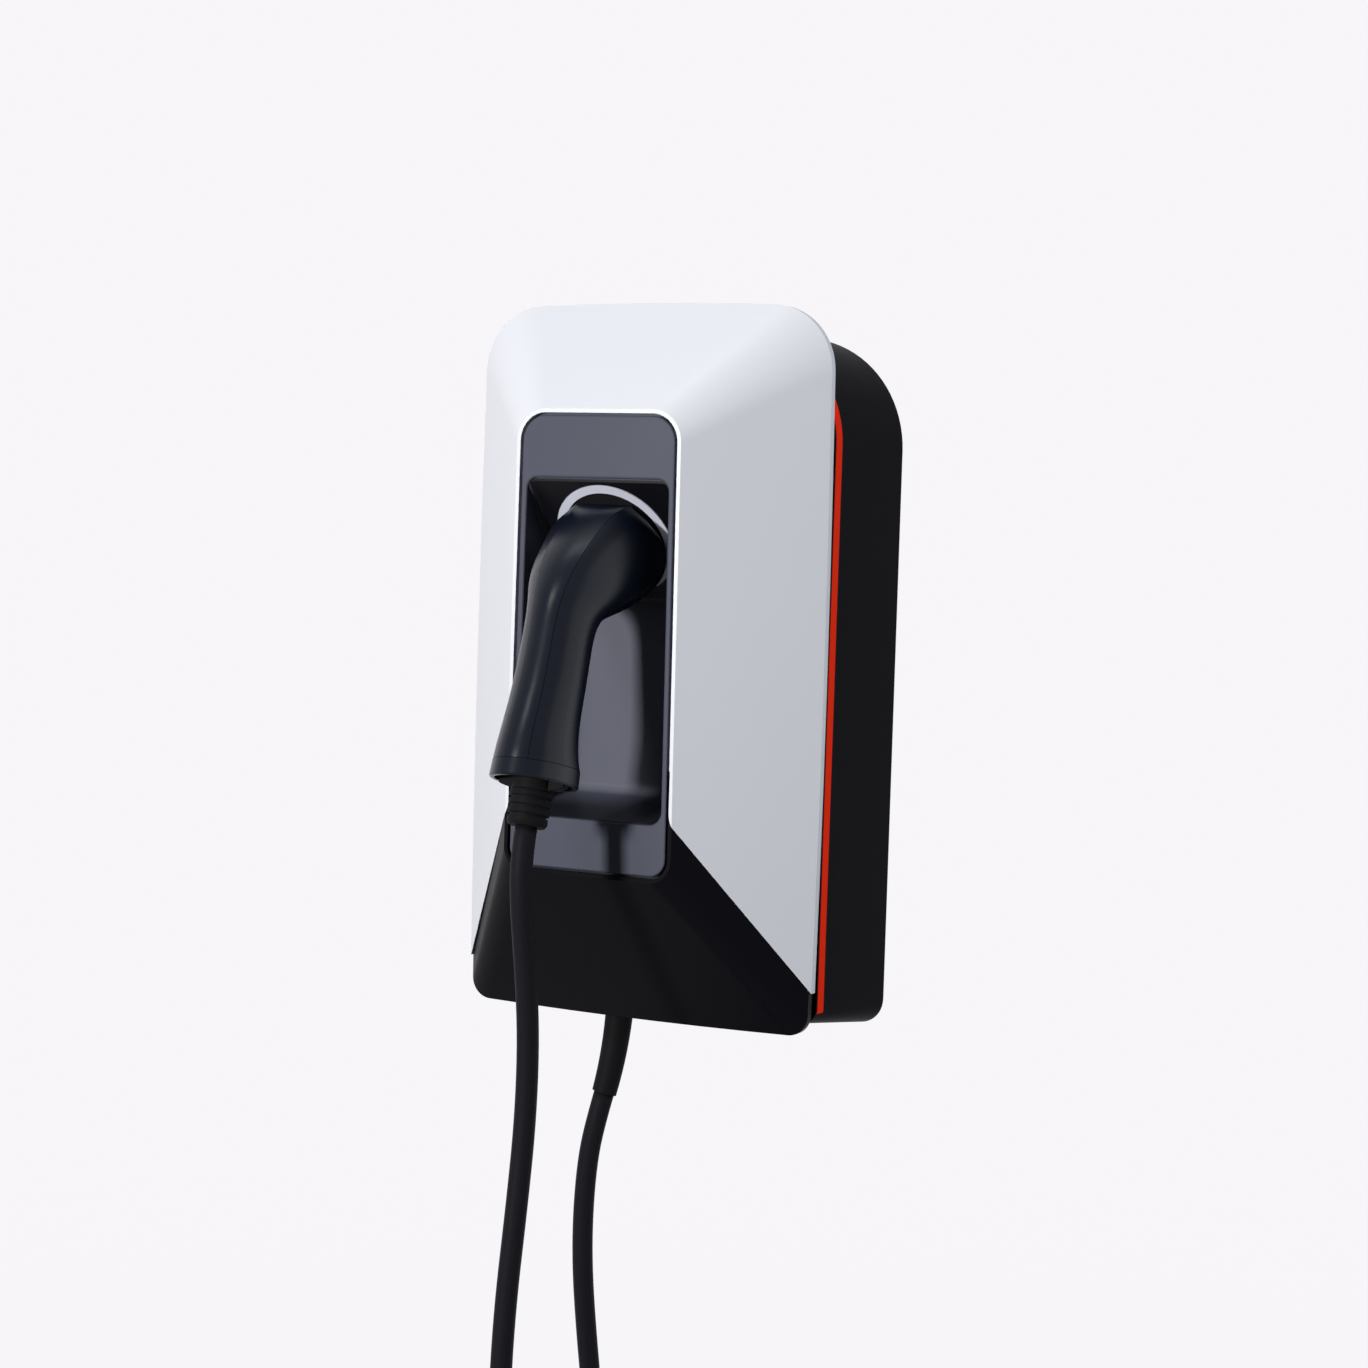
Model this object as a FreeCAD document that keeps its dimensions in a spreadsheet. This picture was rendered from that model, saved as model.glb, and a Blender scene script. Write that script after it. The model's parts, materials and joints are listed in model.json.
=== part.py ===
import FreeCAD, Part
import math
import os

import Sketcher

# Wall-mounted charging station with a tethered charging connector in its dock.
#
# Frame: the wall is the plane Y = 0 and the front looks along -Y, +X is the viewer's right and +Z is
# up.  The origin is the middle of the wall face at half the cover's height.  "Depth" always means the
# distance from the wall, so a point at depth d has y = -d.

os.makedirs("parts", exist_ok=True)
doc = FreeCAD.newDocument("charging_station")

# Driving sizes in millimetres and degrees

SIZES = [
    # front cover: a four-sided pyramid frustum with a thin return behind its rim
    ("cover_width", 227.0), ("cover_height", 415.0), ("cover_bulge", 1.3), ("cover_wall", 2.6),
    ("rim_gap", 3.0), ("return_depth", 4.5), ("rim_top_radius", 38.0), ("rim_base_radius", 14.0),
    ("parting_gap", 0.5), ("chin_start", 83.0), ("chin_end", 181.0), ("chin_turn_radius", 14.0),
    ("chin_inset", 1.6),
    # console panel, standing in the cover's opening and a little narrower at its top
    ("console_width", 101.2), ("console_taper", 1.7), ("console_top", 141.3), ("console_drop", 114.4),
    ("console_depth", 165.5), ("console_top_radius", 14.5), ("console_base_radius", 10.0),
    ("console_gap", 1.5), ("lip_width", 2.2), ("console_plate", 3.0), ("console_flange", 2.4),
    ("console_edge", 1.0), ("seat_gap", 0.3),
    # pocket for the connector
    ("pocket_width", 94.0), ("pocket_taper", 1.5), ("pocket_floor", 118.0), ("pocket_lip_drop", 85.6),
    ("pocket_ramp_rise", 12.0), ("pocket_radius", 5.5),
    ("pocket_base_radius", 8.0), ("pocket_top_radius", 7.0), ("pocket_edge", 1.4), ("pocket_wall", 2.5),
    # dock, at the top of the pocket; its axis points forwards and down
    ("dock_depth", 142.0), ("dock_rise", 72.6), ("dock_tilt", 35.0), ("ring_radius", 36.3),
    ("ring_width", 5.0), ("ring_height", 3.6), ("ring_stand", 0.5), ("socket_bore_depth", 31.0),
    ("socket_wall", 3.0), ("socket_flange_radius", 45.0), ("led_board_thickness", 1.6),
    ("led_height", 2.4), ("dock_boss_radius", 3.2), ("nose_radius", 26.0), ("nose_flat", 20.8),
    ("nose_clearance", 0.6), ("nose_length", 28.0),
    # rear housing
    ("housing_flare", 3.0), ("housing_top_inset", 12.5), ("housing_back_drop", 3.5),
    ("housing_front_inset", 8.0), ("housing_top_radius", 66.0), ("housing_back_radius", 15.0),
    ("housing_front_radius", 9.0), ("housing_front_depth", 95.5), ("housing_wall", 3.0),
    ("housing_back_round", 6.0), ("flange_inset", 4.8), ("flange_lip", 7.0), ("flange_thickness", 5.0),
    ("strip_width", 7.2), ("strip_setback", 1.3), ("strip_thickness", 1.8), ("strip_base_inset", 14.0),
    ("strip_top_inset", 35.5), ("strip_clearance", 0.15), ("seal_inset", 6.4), ("seal_thickness", 2.0),
    ("seal_width", 1.8), ("seal_stand", 0.3), ("seal_gap", 0.1),
    # wall bracket
    ("bracket_width", 150.0), ("bracket_height", 290.0), ("bracket_thickness", 3.0),
    ("bracket_radius", 10.0), ("bracket_hole_radius", 3.3), ("bracket_hole_x", 60.0),
    ("bracket_hole_z", 110.0), ("window_width", 60.0), ("window_height", 70.0), ("window_drop", 72.0),
    ("hook_width", 20.0), ("hook_height", 14.0), ("hook_x", 60.0), ("hook_z", 60.0),
    ("hook_thickness", 2.4), ("hook_clearance", 0.6),
    # electronics inside the rear housing
    ("board_width", 170.0), ("board_height", 150.0), ("board_thickness", 1.6), ("board_drop", 25.0),
    ("board_standoff", 16.0), ("post_radius", 4.5), ("board_screw_radius", 1.7), ("board_screw_length", 9.0),
    ("board_hole_inset", 7.0),
    ("contactor_width", 46.0), ("contactor_height", 64.0), ("contactor_depth", 48.0),
    ("supply_width", 52.0), ("supply_height", 44.0), ("supply_depth", 26.0),
    ("terminal_width", 84.0), ("terminal_height", 24.0), ("terminal_depth", 30.0),
    ("terminal_pitch", 15.0), ("terminal_entry_radius", 3.4), ("sensor_radius", 20.0),
    ("sensor_bore", 11.0), ("sensor_depth", 16.0), ("left_column", -48.0), ("right_column", 44.0),
    ("contactor_rise", 2.0), ("supply_rise", 22.0), ("sensor_drop", 28.0), ("terminal_x", 10.0),
    ("terminal_drop", 74.0), ("reader_width", 72.0), ("reader_height", 17.0), ("reader_margin", 5.0),
    # cable entries in the base of the housing
    ("gland_x", -28.0), ("gland_depth", 70.0), ("gland_flange_radius", 12.5), ("gland_flange", 2.5),
    ("gland_barrel_radius", 9.7), ("gland_length", 20.0), ("gland_nut_width", 26.0),
    ("gland_nut_height", 6.0), ("sleeve_root_radius", 8.4), ("sleeve_end_radius", 7.4),
    ("sleeve_length", 54.0), ("sleeve_lean", 11.0), ("sleeve_step_count", 8), ("entry_x", 34.0),
    ("entry_radius", 11.0), ("entry_lip", 3.0), ("entry_cap", 2.2),
    # charging connector: its head on the dock's axis, then the bend, the grip and the skirt
    ("head_root_radius", 30.4), ("head_root_flat", 24.8),
    ("head_reach", 17.0), ("head_half_width", 36.4), ("head_rise", 27.6), ("head_drop", 31.0),
    ("head_panel", 14.1), ("head_flat", 0.95),
    ("knuckle_reach", 33.0), ("knuckle_half_width", 32.4), ("knuckle_rise", 28.4), ("knuckle_drop", 28.2),
    ("knuckle_panel", 13.0), ("knuckle_flat", 0.8), ("knuckle_turn", 3.0),
    ("bend_back", 39.2), ("bend_up", 103.6), ("bend_tilt", 47.0), ("bend_half_width", 27.2),
    ("bend_rise", 25.9), ("bend_drop", 22.7), ("bend_panel", 11.4), ("bend_flat", 0.5),
    ("neck_back", 28.9), ("neck_up", 93.2), ("neck_tilt", 60.0), ("neck_half_width", 21.3),
    ("neck_rise", 22.8), ("neck_drop", 18.9), ("neck_panel", 9.1), ("neck_flat", 0.2),
    ("grip_back", 19.6), ("grip_up", 69.0), ("grip_tilt", 68.0), ("grip_half_width", 19.4),
    ("grip_rise", 20.9), ("grip_drop", 18.9), ("grip_panel", 7.6),
    ("palm_back", 11.2), ("palm_up", 44.9), ("palm_tilt", 71.0), ("palm_radius", 20.2),
    ("flare_back", 3.8), ("flare_up", 21.0), ("flare_tilt", 72.5), ("skirt_inset", 0.5),
    ("panel_crown", 0.6), ("shoulder_angle", 22.0),
    ("shell_wall", 2.8), ("shell_stand", 2.5), ("skirt_radius", 24.6),
    ("end_depth", 224.8), ("end_drop", 61.0), ("end_tilt", 75.0), ("collar_height", 9.5),
    ("spigot_length", 3.0), ("seam_width", 0.25), ("screw_radius", 1.5), ("screw_head_radius", 3.0),
    ("screw_head_height", 2.2), ("screw_seat_x", 11.0), ("screw_length", 25.0),
    ("clamp_radius", 11.6), ("clamp_inside", 14.0), ("clamp_outside", 5.0), ("clamp_web", 2.6),
    ("clip_reach", 20.4), ("clip_width", 6.0), ("clip_tip", 2.2),
    ("relief_radius", 12.2), ("relief_length", 19.0), ("relief_taper", 1.4), ("relief_groove", 1.5),
    ("relief_rib_count", 4), ("contact_circle", 15.4), ("contact_radius", 3.6),
    ("signal_radius", 2.4), ("contact_bore_share", 0.8), ("contact_length", 21.0),
    # charging cable
    ("cable_diameter", 12.3), ("coil_radius", 74.0), ("coil_width", 46.0), ("coil_height", 37.0),
    ("coil_bevel", 9.5), ("coil_x", -19.7), ("coil_depth", 155.0), ("coil_drop", 503.0),
    ("tie_width", 14.0), ("tie_thickness", 1.4),
]

sheet = doc.addObject("Spreadsheet::Sheet", "Sizes")
for row, (alias, number) in enumerate(SIZES, start=1):
    sheet.set("A%d" % row, alias)
    sheet.set("B%d" % row, "%g" % number)
    sheet.setAlias("B%d" % row, alias)
doc.recompute()


def size(alias):
    """The value of one cell of the sheet."""
    return float(sheet.get(alias))


def count_of(alias):
    """A cell that counts things."""
    return int(round(size(alias)))


def at(x, depth, z):
    """A point given by its depth from the wall."""
    return FreeCAD.Vector(x, -depth, z)


# Shapes shared by several pieces


def feature(label, shape):
    """A sub-part whose shape comes from Part's own functions."""
    sub_part = doc.addObject("Part::Feature", label)
    sub_part.Label = label
    sub_part.Shape = shape
    sub_part.Placement = FreeCAD.Placement()
    return sub_part


def outline(corners, radii, depth, bulge=0.0):
    """Closed outline in the plane at one depth: straight or slightly bowed sides and round corners."""
    count = len(corners)
    starts, middles, ends = [], [], []
    for i in range(count):
        corner = FreeCAD.Vector(corners[i][0], 0, corners[i][1])
        before = FreeCAD.Vector(corners[i - 1][0], 0, corners[i - 1][1]) - corner
        after = FreeCAD.Vector(corners[(i + 1) % count][0], 0, corners[(i + 1) % count][1]) - corner
        before.normalize()
        after.normalize()
        half = before.getAngle(after) / 2
        reach = radii[i] / math.tan(half)
        inward = (before + after).normalize()
        starts.append(corner + before * reach)
        ends.append(corner + after * reach)
        middles.append(corner + inward * (radii[i] / math.sin(half) - radii[i]))
    centre = sum(starts, FreeCAD.Vector()) * (1.0 / count)
    lift = FreeCAD.Vector(0, -depth, 0)
    edges = []
    for i in range(count):
        start, end = ends[i - 1] + lift, starts[i] + lift
        if bulge:
            middle = (ends[i - 1] + starts[i]) * 0.5
            side = (starts[i] - ends[i - 1]).cross(FreeCAD.Vector(0, 1, 0)).normalize()
            if side.dot(middle - centre) < 0:
                side = side * -1
            edges.append(Part.Arc(start, middle + side * bulge + lift, end).toShape())
        else:
            edges.append(Part.LineSegment(start, end).toShape())
        edges.append(Part.Arc(end, middles[i] + lift, ends[i] + lift).toShape())
    return Part.Wire(edges)


def frame_corners(half_width, top, drop, taper=0.0):
    """Corners of an upright rectangle, from the lower left anticlockwise as the viewer sees it.

    Its top corners may stand nearer to the middle by the taper.
    """
    narrow = half_width - taper
    return [(-half_width, -drop), (half_width, -drop), (narrow, top), (-narrow, top)]


def prism(wire, thickness):
    """The outline pushed forwards, away from the wall."""
    return Part.Face(wire).extrude(FreeCAD.Vector(0, -thickness, 0))


def rounded_bands(make_outline, radius, front, direction):
    """Loft of three slanted bands on a quarter circle behind the front, growing or shrinking forwards."""
    wires = []
    for angle in (0, 30, 60, 90):
        swing = math.radians(angle)
        grow = direction * radius * (1 - math.cos(swing))
        wires.append(make_outline(grow, front - radius * (1 - math.sin(swing))))
    return Part.makeLoft(wires, True, True)


def side_prism(points, half_width):
    """A side view, given as depth and height, pushed both ways along X."""
    corners = [at(-half_width, depth, z) for depth, z in points]
    face = Part.Face(Part.makePolygon(corners + corners[:1]))
    return face.extrude(FreeCAD.Vector(2 * half_width, 0, 0))


def checked_cut(base, tool):
    """Cut that must remove material, because a tool in the wrong place changes nothing."""
    result = base.cut(tool)
    if base.Volume - result.Volume < 1e-3:
        raise ValueError("a cut removed nothing")
    return result


def new_body(label):
    body = doc.addObject("PartDesign::Body", label)
    body.Label = label
    return body


def new_sketch(body, role, offset=None):
    """Sketch on one of the body's own origin planes, moved along its normal by an expression."""
    plane = [item for item in body.Origin.OriginFeatures if item.Role == role][0]
    sketch = body.newObject("Sketcher::SketchObject", body.Label + "_sketch")
    sketch.AttachmentSupport = [(plane, "")]
    sketch.MapMode = "FlatFace"
    if offset:
        sketch.setExpression("AttachmentOffset.Base.z", offset)
    return sketch


def bind(sketch, constraint, expression):
    """Add one dimension to a sketch and tie it to the sheet."""
    index = sketch.addConstraint(constraint)
    sketch.setExpression("Constraints[%d]" % index, expression)


def draw_rectangle(sketch, width, height, x="0", y="0"):
    """Rectangle of the given width and height, centred on x, y; all four are expressions."""
    first = len(sketch.Geometry)
    for a, b in (((-1, -1), (1, -1)), ((1, -1), (1, 1)), ((1, 1), (-1, 1)), ((-1, 1), (-1, -1))):
        sketch.addGeometry(Part.LineSegment(FreeCAD.Vector(*a, 0), FreeCAD.Vector(*b, 0)))
    for i in range(4):
        sketch.addConstraint(Sketcher.Constraint("Coincident", first + i, 2, first + (i + 1) % 4, 1))
        kind = "Horizontal" if i % 2 == 0 else "Vertical"
        sketch.addConstraint(Sketcher.Constraint(kind, first + i))
    bind(sketch, Sketcher.Constraint("DistanceX", first, 1, first, 2, 2.0), width)
    bind(sketch, Sketcher.Constraint("DistanceY", first + 1, 1, first + 1, 2, 2.0), height)
    bind(sketch, Sketcher.Constraint("DistanceX", -1, 1, first + 1, 2, 1.0), "%s + (%s) / 2" % (x, width))
    bind(sketch, Sketcher.Constraint("DistanceY", -1, 1, first + 1, 2, 1.0), "%s + (%s) / 2" % (y, height))


def draw_circle(sketch, radius, x="0", y="0"):
    """Circle whose radius and centre are expressions."""
    index = sketch.addGeometry(Part.Circle(FreeCAD.Vector(1, 1, 0), FreeCAD.Vector(0, 0, 1), 1.0))
    bind(sketch, Sketcher.Constraint("Radius", index, 1.0), radius)
    bind(sketch, Sketcher.Constraint("DistanceX", -1, 1, index, 3, 1.0), x)
    bind(sketch, Sketcher.Constraint("DistanceY", -1, 1, index, 3, 1.0), y)


def draw_profile(sketch, points):
    """Closed polygon whose corners are pairs of expressions, each held by two dimensions."""
    count, first = len(points), len(sketch.Geometry)
    values = [(sketch.evalExpression(x), sketch.evalExpression(y)) for x, y in points]
    flat = [tuple(float(getattr(v, "Value", v)) for v in pair) for pair in values]
    for i in range(count):
        a, b = flat[i], flat[(i + 1) % count]
        sketch.addGeometry(Part.LineSegment(FreeCAD.Vector(*a, 0), FreeCAD.Vector(*b, 0)))
    for i in range(count):
        sketch.addConstraint(Sketcher.Constraint("Coincident", first + i, 2, first + (i + 1) % count, 1))
    for i, (x, y) in enumerate(points):
        for kind, number, expression in (("DistanceX", flat[i][0], x), ("DistanceY", flat[i][1], y)):
            if abs(number) < 1e-9:
                line = -2 if kind == "DistanceX" else -1
                sketch.addConstraint(Sketcher.Constraint("PointOnObject", first + i, 1, line))
            else:
                bind(sketch, Sketcher.Constraint(kind, -1, 1, first + i, 1, number), expression)


def pad(body, sketch, length):
    """Pad along the sketch's normal by an expression."""
    result = body.newObject("PartDesign::Pad", body.Label + "_pad")
    result.Profile = sketch
    result.setExpression("Length", length)
    return result


def pocket(body, sketch, length=None):
    """Pocket against the sketch's normal: to a depth, or through everything both ways."""
    result = body.newObject("PartDesign::Pocket", body.Label + "_pocket")
    result.Profile = sketch
    if length:
        result.setExpression("Length", length)
    else:
        result.Type = 1
        result.Midplane = True
    return result


def revolve(body, sketch):
    """Full turn about the sketch's vertical axis."""
    result = body.newObject("PartDesign::Revolution", body.Label + "_revolution")
    result.Profile = sketch
    result.ReferenceAxis = (sketch, ["V_Axis"])
    result.Angle = 360.0
    return result


def turned(label, points):
    """Turned piece: its half section is drawn as radius and height."""
    body = new_body(label)
    sketch = new_sketch(body, "XZ_Plane")
    draw_profile(sketch, points)
    revolve(body, sketch)
    return body


def place(body, x="0", depth="0", z="0"):
    """Bind a sub-part's place to the sheet."""
    body.setExpression("Placement.Base.x", x)
    body.setExpression("Placement.Base.y", "-(%s)" % depth)
    body.setExpression("Placement.Base.z", z)


# Axes of the dock, the gland and the connector's lower end


def axis_frame(x, depth, z, below_horizontal):
    """Placement whose Z points forwards and down by the given angle and whose Y points up."""
    turn = FreeCAD.Rotation(FreeCAD.Vector(1, 0, 0), 90 + below_horizontal)
    return FreeCAD.Placement(at(x, depth, z), turn)


def dock_frame():
    return axis_frame(0, size("dock_depth"), size("dock_rise"), size("dock_tilt"))


def end_frame():
    return axis_frame(0, size("end_depth"), -size("end_drop"), size("end_tilt"))


def housing_share(depth):
    """0 at the end of the housing's rounded back edge and 1 at its front."""
    back = size("bracket_thickness") + size("housing_back_round")
    return (depth - back) / (size("housing_front_depth") - back)


def housing_base(share):
    """Distance of the housing's sloping base below the middle, at a share of its depth."""
    below = size("housing_back_drop") - share * (size("housing_back_drop") + size("housing_front_inset"))
    return size("cover_height") / 2 + below


def base_height(depth):
    """Height of the housing's sloping base at one depth."""
    return -housing_base(housing_share(depth))


def base_tilt():
    """Angle below the horizontal of the normal of the housing's base."""
    step = base_height(1.0) - base_height(0.0)
    return 90.0 - math.degrees(math.atan(step))


def gland_frame():
    depth = size("gland_depth")
    return axis_frame(size("gland_x"), depth, base_height(depth), base_tilt())


def put_on_dock(body):
    """Stand a sub-part on the dock's axis."""
    body.setExpression("Placement.Base.y", "-Sizes.dock_depth")
    body.setExpression("Placement.Base.z", "Sizes.dock_rise")
    body.setExpression("Placement.Rotation.Angle", "90 deg + Sizes.dock_tilt * 1 deg")
    body.setExpression("Placement.Rotation.Axis.x", "1")
    body.setExpression("Placement.Rotation.Axis.z", "0")


# Front cover and lower cover


def console_outline(grow, depth):
    """Outline of the console panel at one depth, grown outwards all round."""
    corners = frame_corners(size("console_width") / 2 + grow, size("console_top") + grow,
                            size("console_drop") + grow, size("console_taper"))
    base, top = size("console_base_radius") + grow, size("console_top_radius") + grow
    return outline(corners, [base, base, top, top], depth)


def rim_depth():
    """Depth of the edge between the frustum and its return, which starts a gap in front of the housing."""
    return size("housing_front_depth") + size("rim_gap") + size("return_depth")


def cover_rim(inset, depth):
    """Outline of the rim at one depth, moved inwards by the inset."""
    corners = frame_corners(size("cover_width") / 2 - inset, size("cover_height") / 2 - inset,
                            size("cover_height") / 2 - inset)
    base, top = size("rim_base_radius") - inset, size("rim_top_radius") - inset
    return outline(corners, [base, base, top, top], depth, size("cover_bulge"))


def cover_shell(inset):
    """A whole cover before it is parted: a hollow pyramid frustum with a return, open at the front.

    The inset moves the rim inwards, and the wall is as thick at the slopes as at the return.  A rib
    inside stands just over the housing's seal.
    """
    wall, front = size("cover_wall"), size("console_depth")
    rim, back = rim_depth(), rim_depth() - size("return_depth")
    lip = console_outline(size("console_gap") + size("lip_width"), front)
    frustum = Part.makeLoft([cover_rim(inset, rim), lip], True, True)
    outer = frustum.fuse(prism(cover_rim(inset, back), rim - back))
    slope_wall = wall * math.sqrt(2)
    inner_rim = prism(cover_rim(inset + wall, back - wall), front - back)
    hollow = frustum.translated(FreeCAD.Vector(0, slope_wall, 0)).common(inner_rim)
    hollow = hollow.fuse(prism(cover_rim(inset + wall, back - wall), rim - slope_wall - back + wall))
    rib_start = seal_start() + size("seal_thickness") + size("seal_stand") + size("seal_gap")
    rib = seal_ring(size("seal_gap"), rib_start, front - rib_start).common(outer)
    opening = prism(console_outline(size("console_gap"), rim), front)
    return checked_cut(checked_cut(outer, hollow).fuse(rib), opening).removeSplitter()


def chin_region(grow):
    """Everything below the parting line, which runs from the opening's sides down to the rim."""
    half = size("console_width") / 2 + size("console_gap")
    start, end, turn = size("chin_start"), size("chin_end"), size("chin_turn_radius")
    slope = (end - start) / (size("cover_width") / 2 - half)
    reach, low = size("cover_width"), size("cover_height")
    shoulder = -start + grow
    side, top = shoulder - slope * (reach - half), shoulder + 2 * turn
    corners = [(-reach, min(-low, side - low)), (reach, min(-low, side - low)), (reach, side),
               (half, shoulder), (half, top), (-half, top), (-half, shoulder), (-reach, side)]
    wire = outline(corners, [1, 1, 1, turn, 1, 1, turn, 1], rim_depth() / 2)
    return prism(wire, size("console_depth"))


def build_covers():
    feature("front_cover", checked_cut(cover_shell(0.0), chin_region(size("parting_gap"))))
    feature("lower_cover", cover_shell(size("chin_inset")).common(chin_region(0.0)))


# Console panel with its pocket


def dock_point(along, across=0.0):
    """Depth and height of a point on the dock's face, measured up the face and out along its axis."""
    tilt = math.radians(size("dock_tilt"))
    depth = size("dock_depth") + along * math.sin(tilt) + across * math.cos(tilt)
    return depth, size("dock_rise") + along * math.cos(tilt) - across * math.sin(tilt)


def pocket_profile(grow):
    """Side view of the pocket: dock face, floor and ramp, grown outwards by a wall."""
    tilt = math.radians(size("dock_tilt"))
    front = size("console_depth") + 1.0
    floor = size("pocket_floor") - grow
    ramp_top = -size("pocket_lip_drop") + size("pocket_ramp_rise")
    ramp = math.atan(size("pocket_ramp_rise") / (size("console_depth") - size("pocket_floor")))
    shift = grow / math.sin(tilt)
    top = size("dock_rise") + (front - size("dock_depth")) / math.tan(tilt) + shift
    corner = size("dock_rise") + (floor - size("dock_depth")) / math.tan(tilt) + shift
    drop = grow / math.cos(ramp)
    low_back = ramp_top + (size("pocket_floor") - floor) * math.tan(ramp) - drop
    low_front = ramp_top - (front - size("pocket_floor")) * math.tan(ramp) - drop
    return [(front, top), (floor, corner), (floor, low_back), (front, low_front)]


def pocket_block(grow):
    """The pocket's hollow with its rounded inner edges."""
    half = size("pocket_width") / 2 + grow
    block = side_prism(pocket_profile(grow), half)
    front = -(size("console_depth") + 1.0)
    floor = -(size("pocket_floor") - grow)
    upright, cross = [], []
    for edge in block.Edges:
        box = edge.BoundBox
        if box.YMax < front + 1e-3:
            continue
        if box.XLength < 1e-3:
            upright.append(edge)
        elif box.XLength > half and abs(box.YMax - floor) < 1e-3:
            cross.append(edge)
    return block.makeFillet(size("pocket_radius") + grow, upright + cross)


def mouth_outline(grow, depth):
    """Outline of the pocket's mouth at one depth, grown outwards all round."""
    rise = (size("console_depth") - size("dock_depth")) / math.tan(math.radians(size("dock_tilt")))
    top = size("dock_rise") + rise
    corners = frame_corners(size("pocket_width") / 2 + grow, top + grow, size("pocket_lip_drop") + grow,
                            size("pocket_taper"))
    base, upper = size("pocket_base_radius") + grow, size("pocket_top_radius") + grow
    return outline(corners, [base, base, upper, upper], depth)


def build_console():
    plate, flange = size("console_plate"), size("console_flange")
    front, wall = size("console_depth"), size("pocket_wall")
    inner_face = front - size("cover_wall") * math.sqrt(2)
    back = inner_face - size("seat_gap") - plate
    face = prism(console_outline(0.0, back), front - size("console_edge") - back)
    face = face.fuse(rounded_bands(console_outline, size("console_edge"), front, -1))
    seat = prism(console_outline(flange, back), plate)
    behind = prism(console_outline(0.0, 0.0), front - plate)
    panel = face.fuse(seat).fuse(pocket_block(wall).common(behind))
    mouth = prism(mouth_outline(0.0, 0.0), front - size("pocket_edge"))
    high_mouth = mouth.fuse(mouth.translated(FreeCAD.Vector(0, 0, size("pocket_radius"))))
    panel = checked_cut(panel, pocket_block(0.0).common(high_mouth))
    panel = checked_cut(panel, rounded_bands(mouth_outline, size("pocket_edge"), front, 1))
    gap, radius = size("seat_gap"), size("ring_radius")
    for reach, end in ((radius + gap, 20), (radius + 3 * gap, -wall),
                       (size("socket_flange_radius") + gap, gap - socket_flange_front())):
        hole = Part.makeCylinder(reach, 20 + end, FreeCAD.Vector(0, 0, -20))
        hole.Placement = dock_frame()
        panel = checked_cut(panel, hole)
    for boss in dock_bosses():
        panel = panel.fuse(boss)
    feature("console_panel", panel.removeSplitter())


def dock_bosses():
    """Four screw bosses on the back of the dock's wall, which carry the socket's flange."""
    bosses = []
    length = socket_flange_front() - size("pocket_wall") + 0.5
    for angle in (45, 135, 225, 315):
        reach = size("ring_radius") + size("dock_boss_radius") + 2
        x, y = reach * math.cos(math.radians(angle)), reach * math.sin(math.radians(angle))
        boss = Part.makeCylinder(size("dock_boss_radius"), length,
                                 FreeCAD.Vector(x, y, -socket_flange_front()))
        boss.Placement = dock_frame()
        bosses.append(boss)
    return bosses


def socket_flange_front():
    """Distance of the socket's flange behind the dock's face."""
    return size("ring_height") + size("seat_gap") + size("led_board_thickness") + size("led_height")


# Dock: light ring, its board and the socket


def build_light_ring():
    """Ring of clear-white plastic whose foot lies behind the dock's wall."""
    turned("light_ring", [
        ("Sizes.ring_radius - Sizes.ring_width", "-Sizes.ring_height"),
        ("Sizes.ring_radius + 2 * Sizes.seat_gap", "-Sizes.ring_height"),
        ("Sizes.ring_radius + 2 * Sizes.seat_gap", "-Sizes.pocket_wall - Sizes.seat_gap"),
        ("Sizes.ring_radius", "-Sizes.pocket_wall - Sizes.seat_gap"),
        ("Sizes.ring_radius", "Sizes.ring_stand"),
        ("Sizes.ring_radius - Sizes.ring_width", "Sizes.ring_stand")])
    put_on_dock(doc.getObject("light_ring"))


def build_led_board():
    """Ring-shaped circuit board with a light source under every tenth of the ring."""
    body = turned("led_board", [
        ("Sizes.ring_radius - Sizes.ring_width + Sizes.seat_gap", "-Sizes.ring_height - Sizes.seat_gap"),
        ("Sizes.ring_radius + 2 * Sizes.seat_gap", "-Sizes.ring_height - Sizes.seat_gap"),
        ("Sizes.ring_radius + 2 * Sizes.seat_gap",
         "-Sizes.ring_height - Sizes.seat_gap - Sizes.led_board_thickness"),
        ("Sizes.ring_radius - Sizes.ring_width + Sizes.seat_gap",
         "-Sizes.ring_height - Sizes.seat_gap - Sizes.led_board_thickness")])
    put_on_dock(body)


def draw_flat_circle(sketch, radius, flat):
    """Circle of the given radius cut off by a level line above its centre; both are expressions."""
    r, f = (float(sketch.evalExpression(text)) for text in (radius, flat))
    half = math.sqrt(r * r - f * f)
    angle = math.atan2(f, half)
    arc = sketch.addGeometry(Part.ArcOfCircle(
        Part.Circle(FreeCAD.Vector(), FreeCAD.Vector(0, 0, 1), r), math.pi - angle, 2 * math.pi + angle))
    line = sketch.addGeometry(Part.LineSegment(FreeCAD.Vector(half, f, 0), FreeCAD.Vector(-half, f, 0)))
    sketch.addConstraint(Sketcher.Constraint("Coincident", arc, 3, -1, 1))
    sketch.addConstraint(Sketcher.Constraint("Coincident", arc, 2, line, 1))
    sketch.addConstraint(Sketcher.Constraint("Coincident", line, 2, arc, 1))
    sketch.addConstraint(Sketcher.Constraint("Horizontal", line))
    bind(sketch, Sketcher.Constraint("Radius", arc, r), radius)
    bind(sketch, Sketcher.Constraint("DistanceY", -1, 1, line, 1, f), flat)


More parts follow.
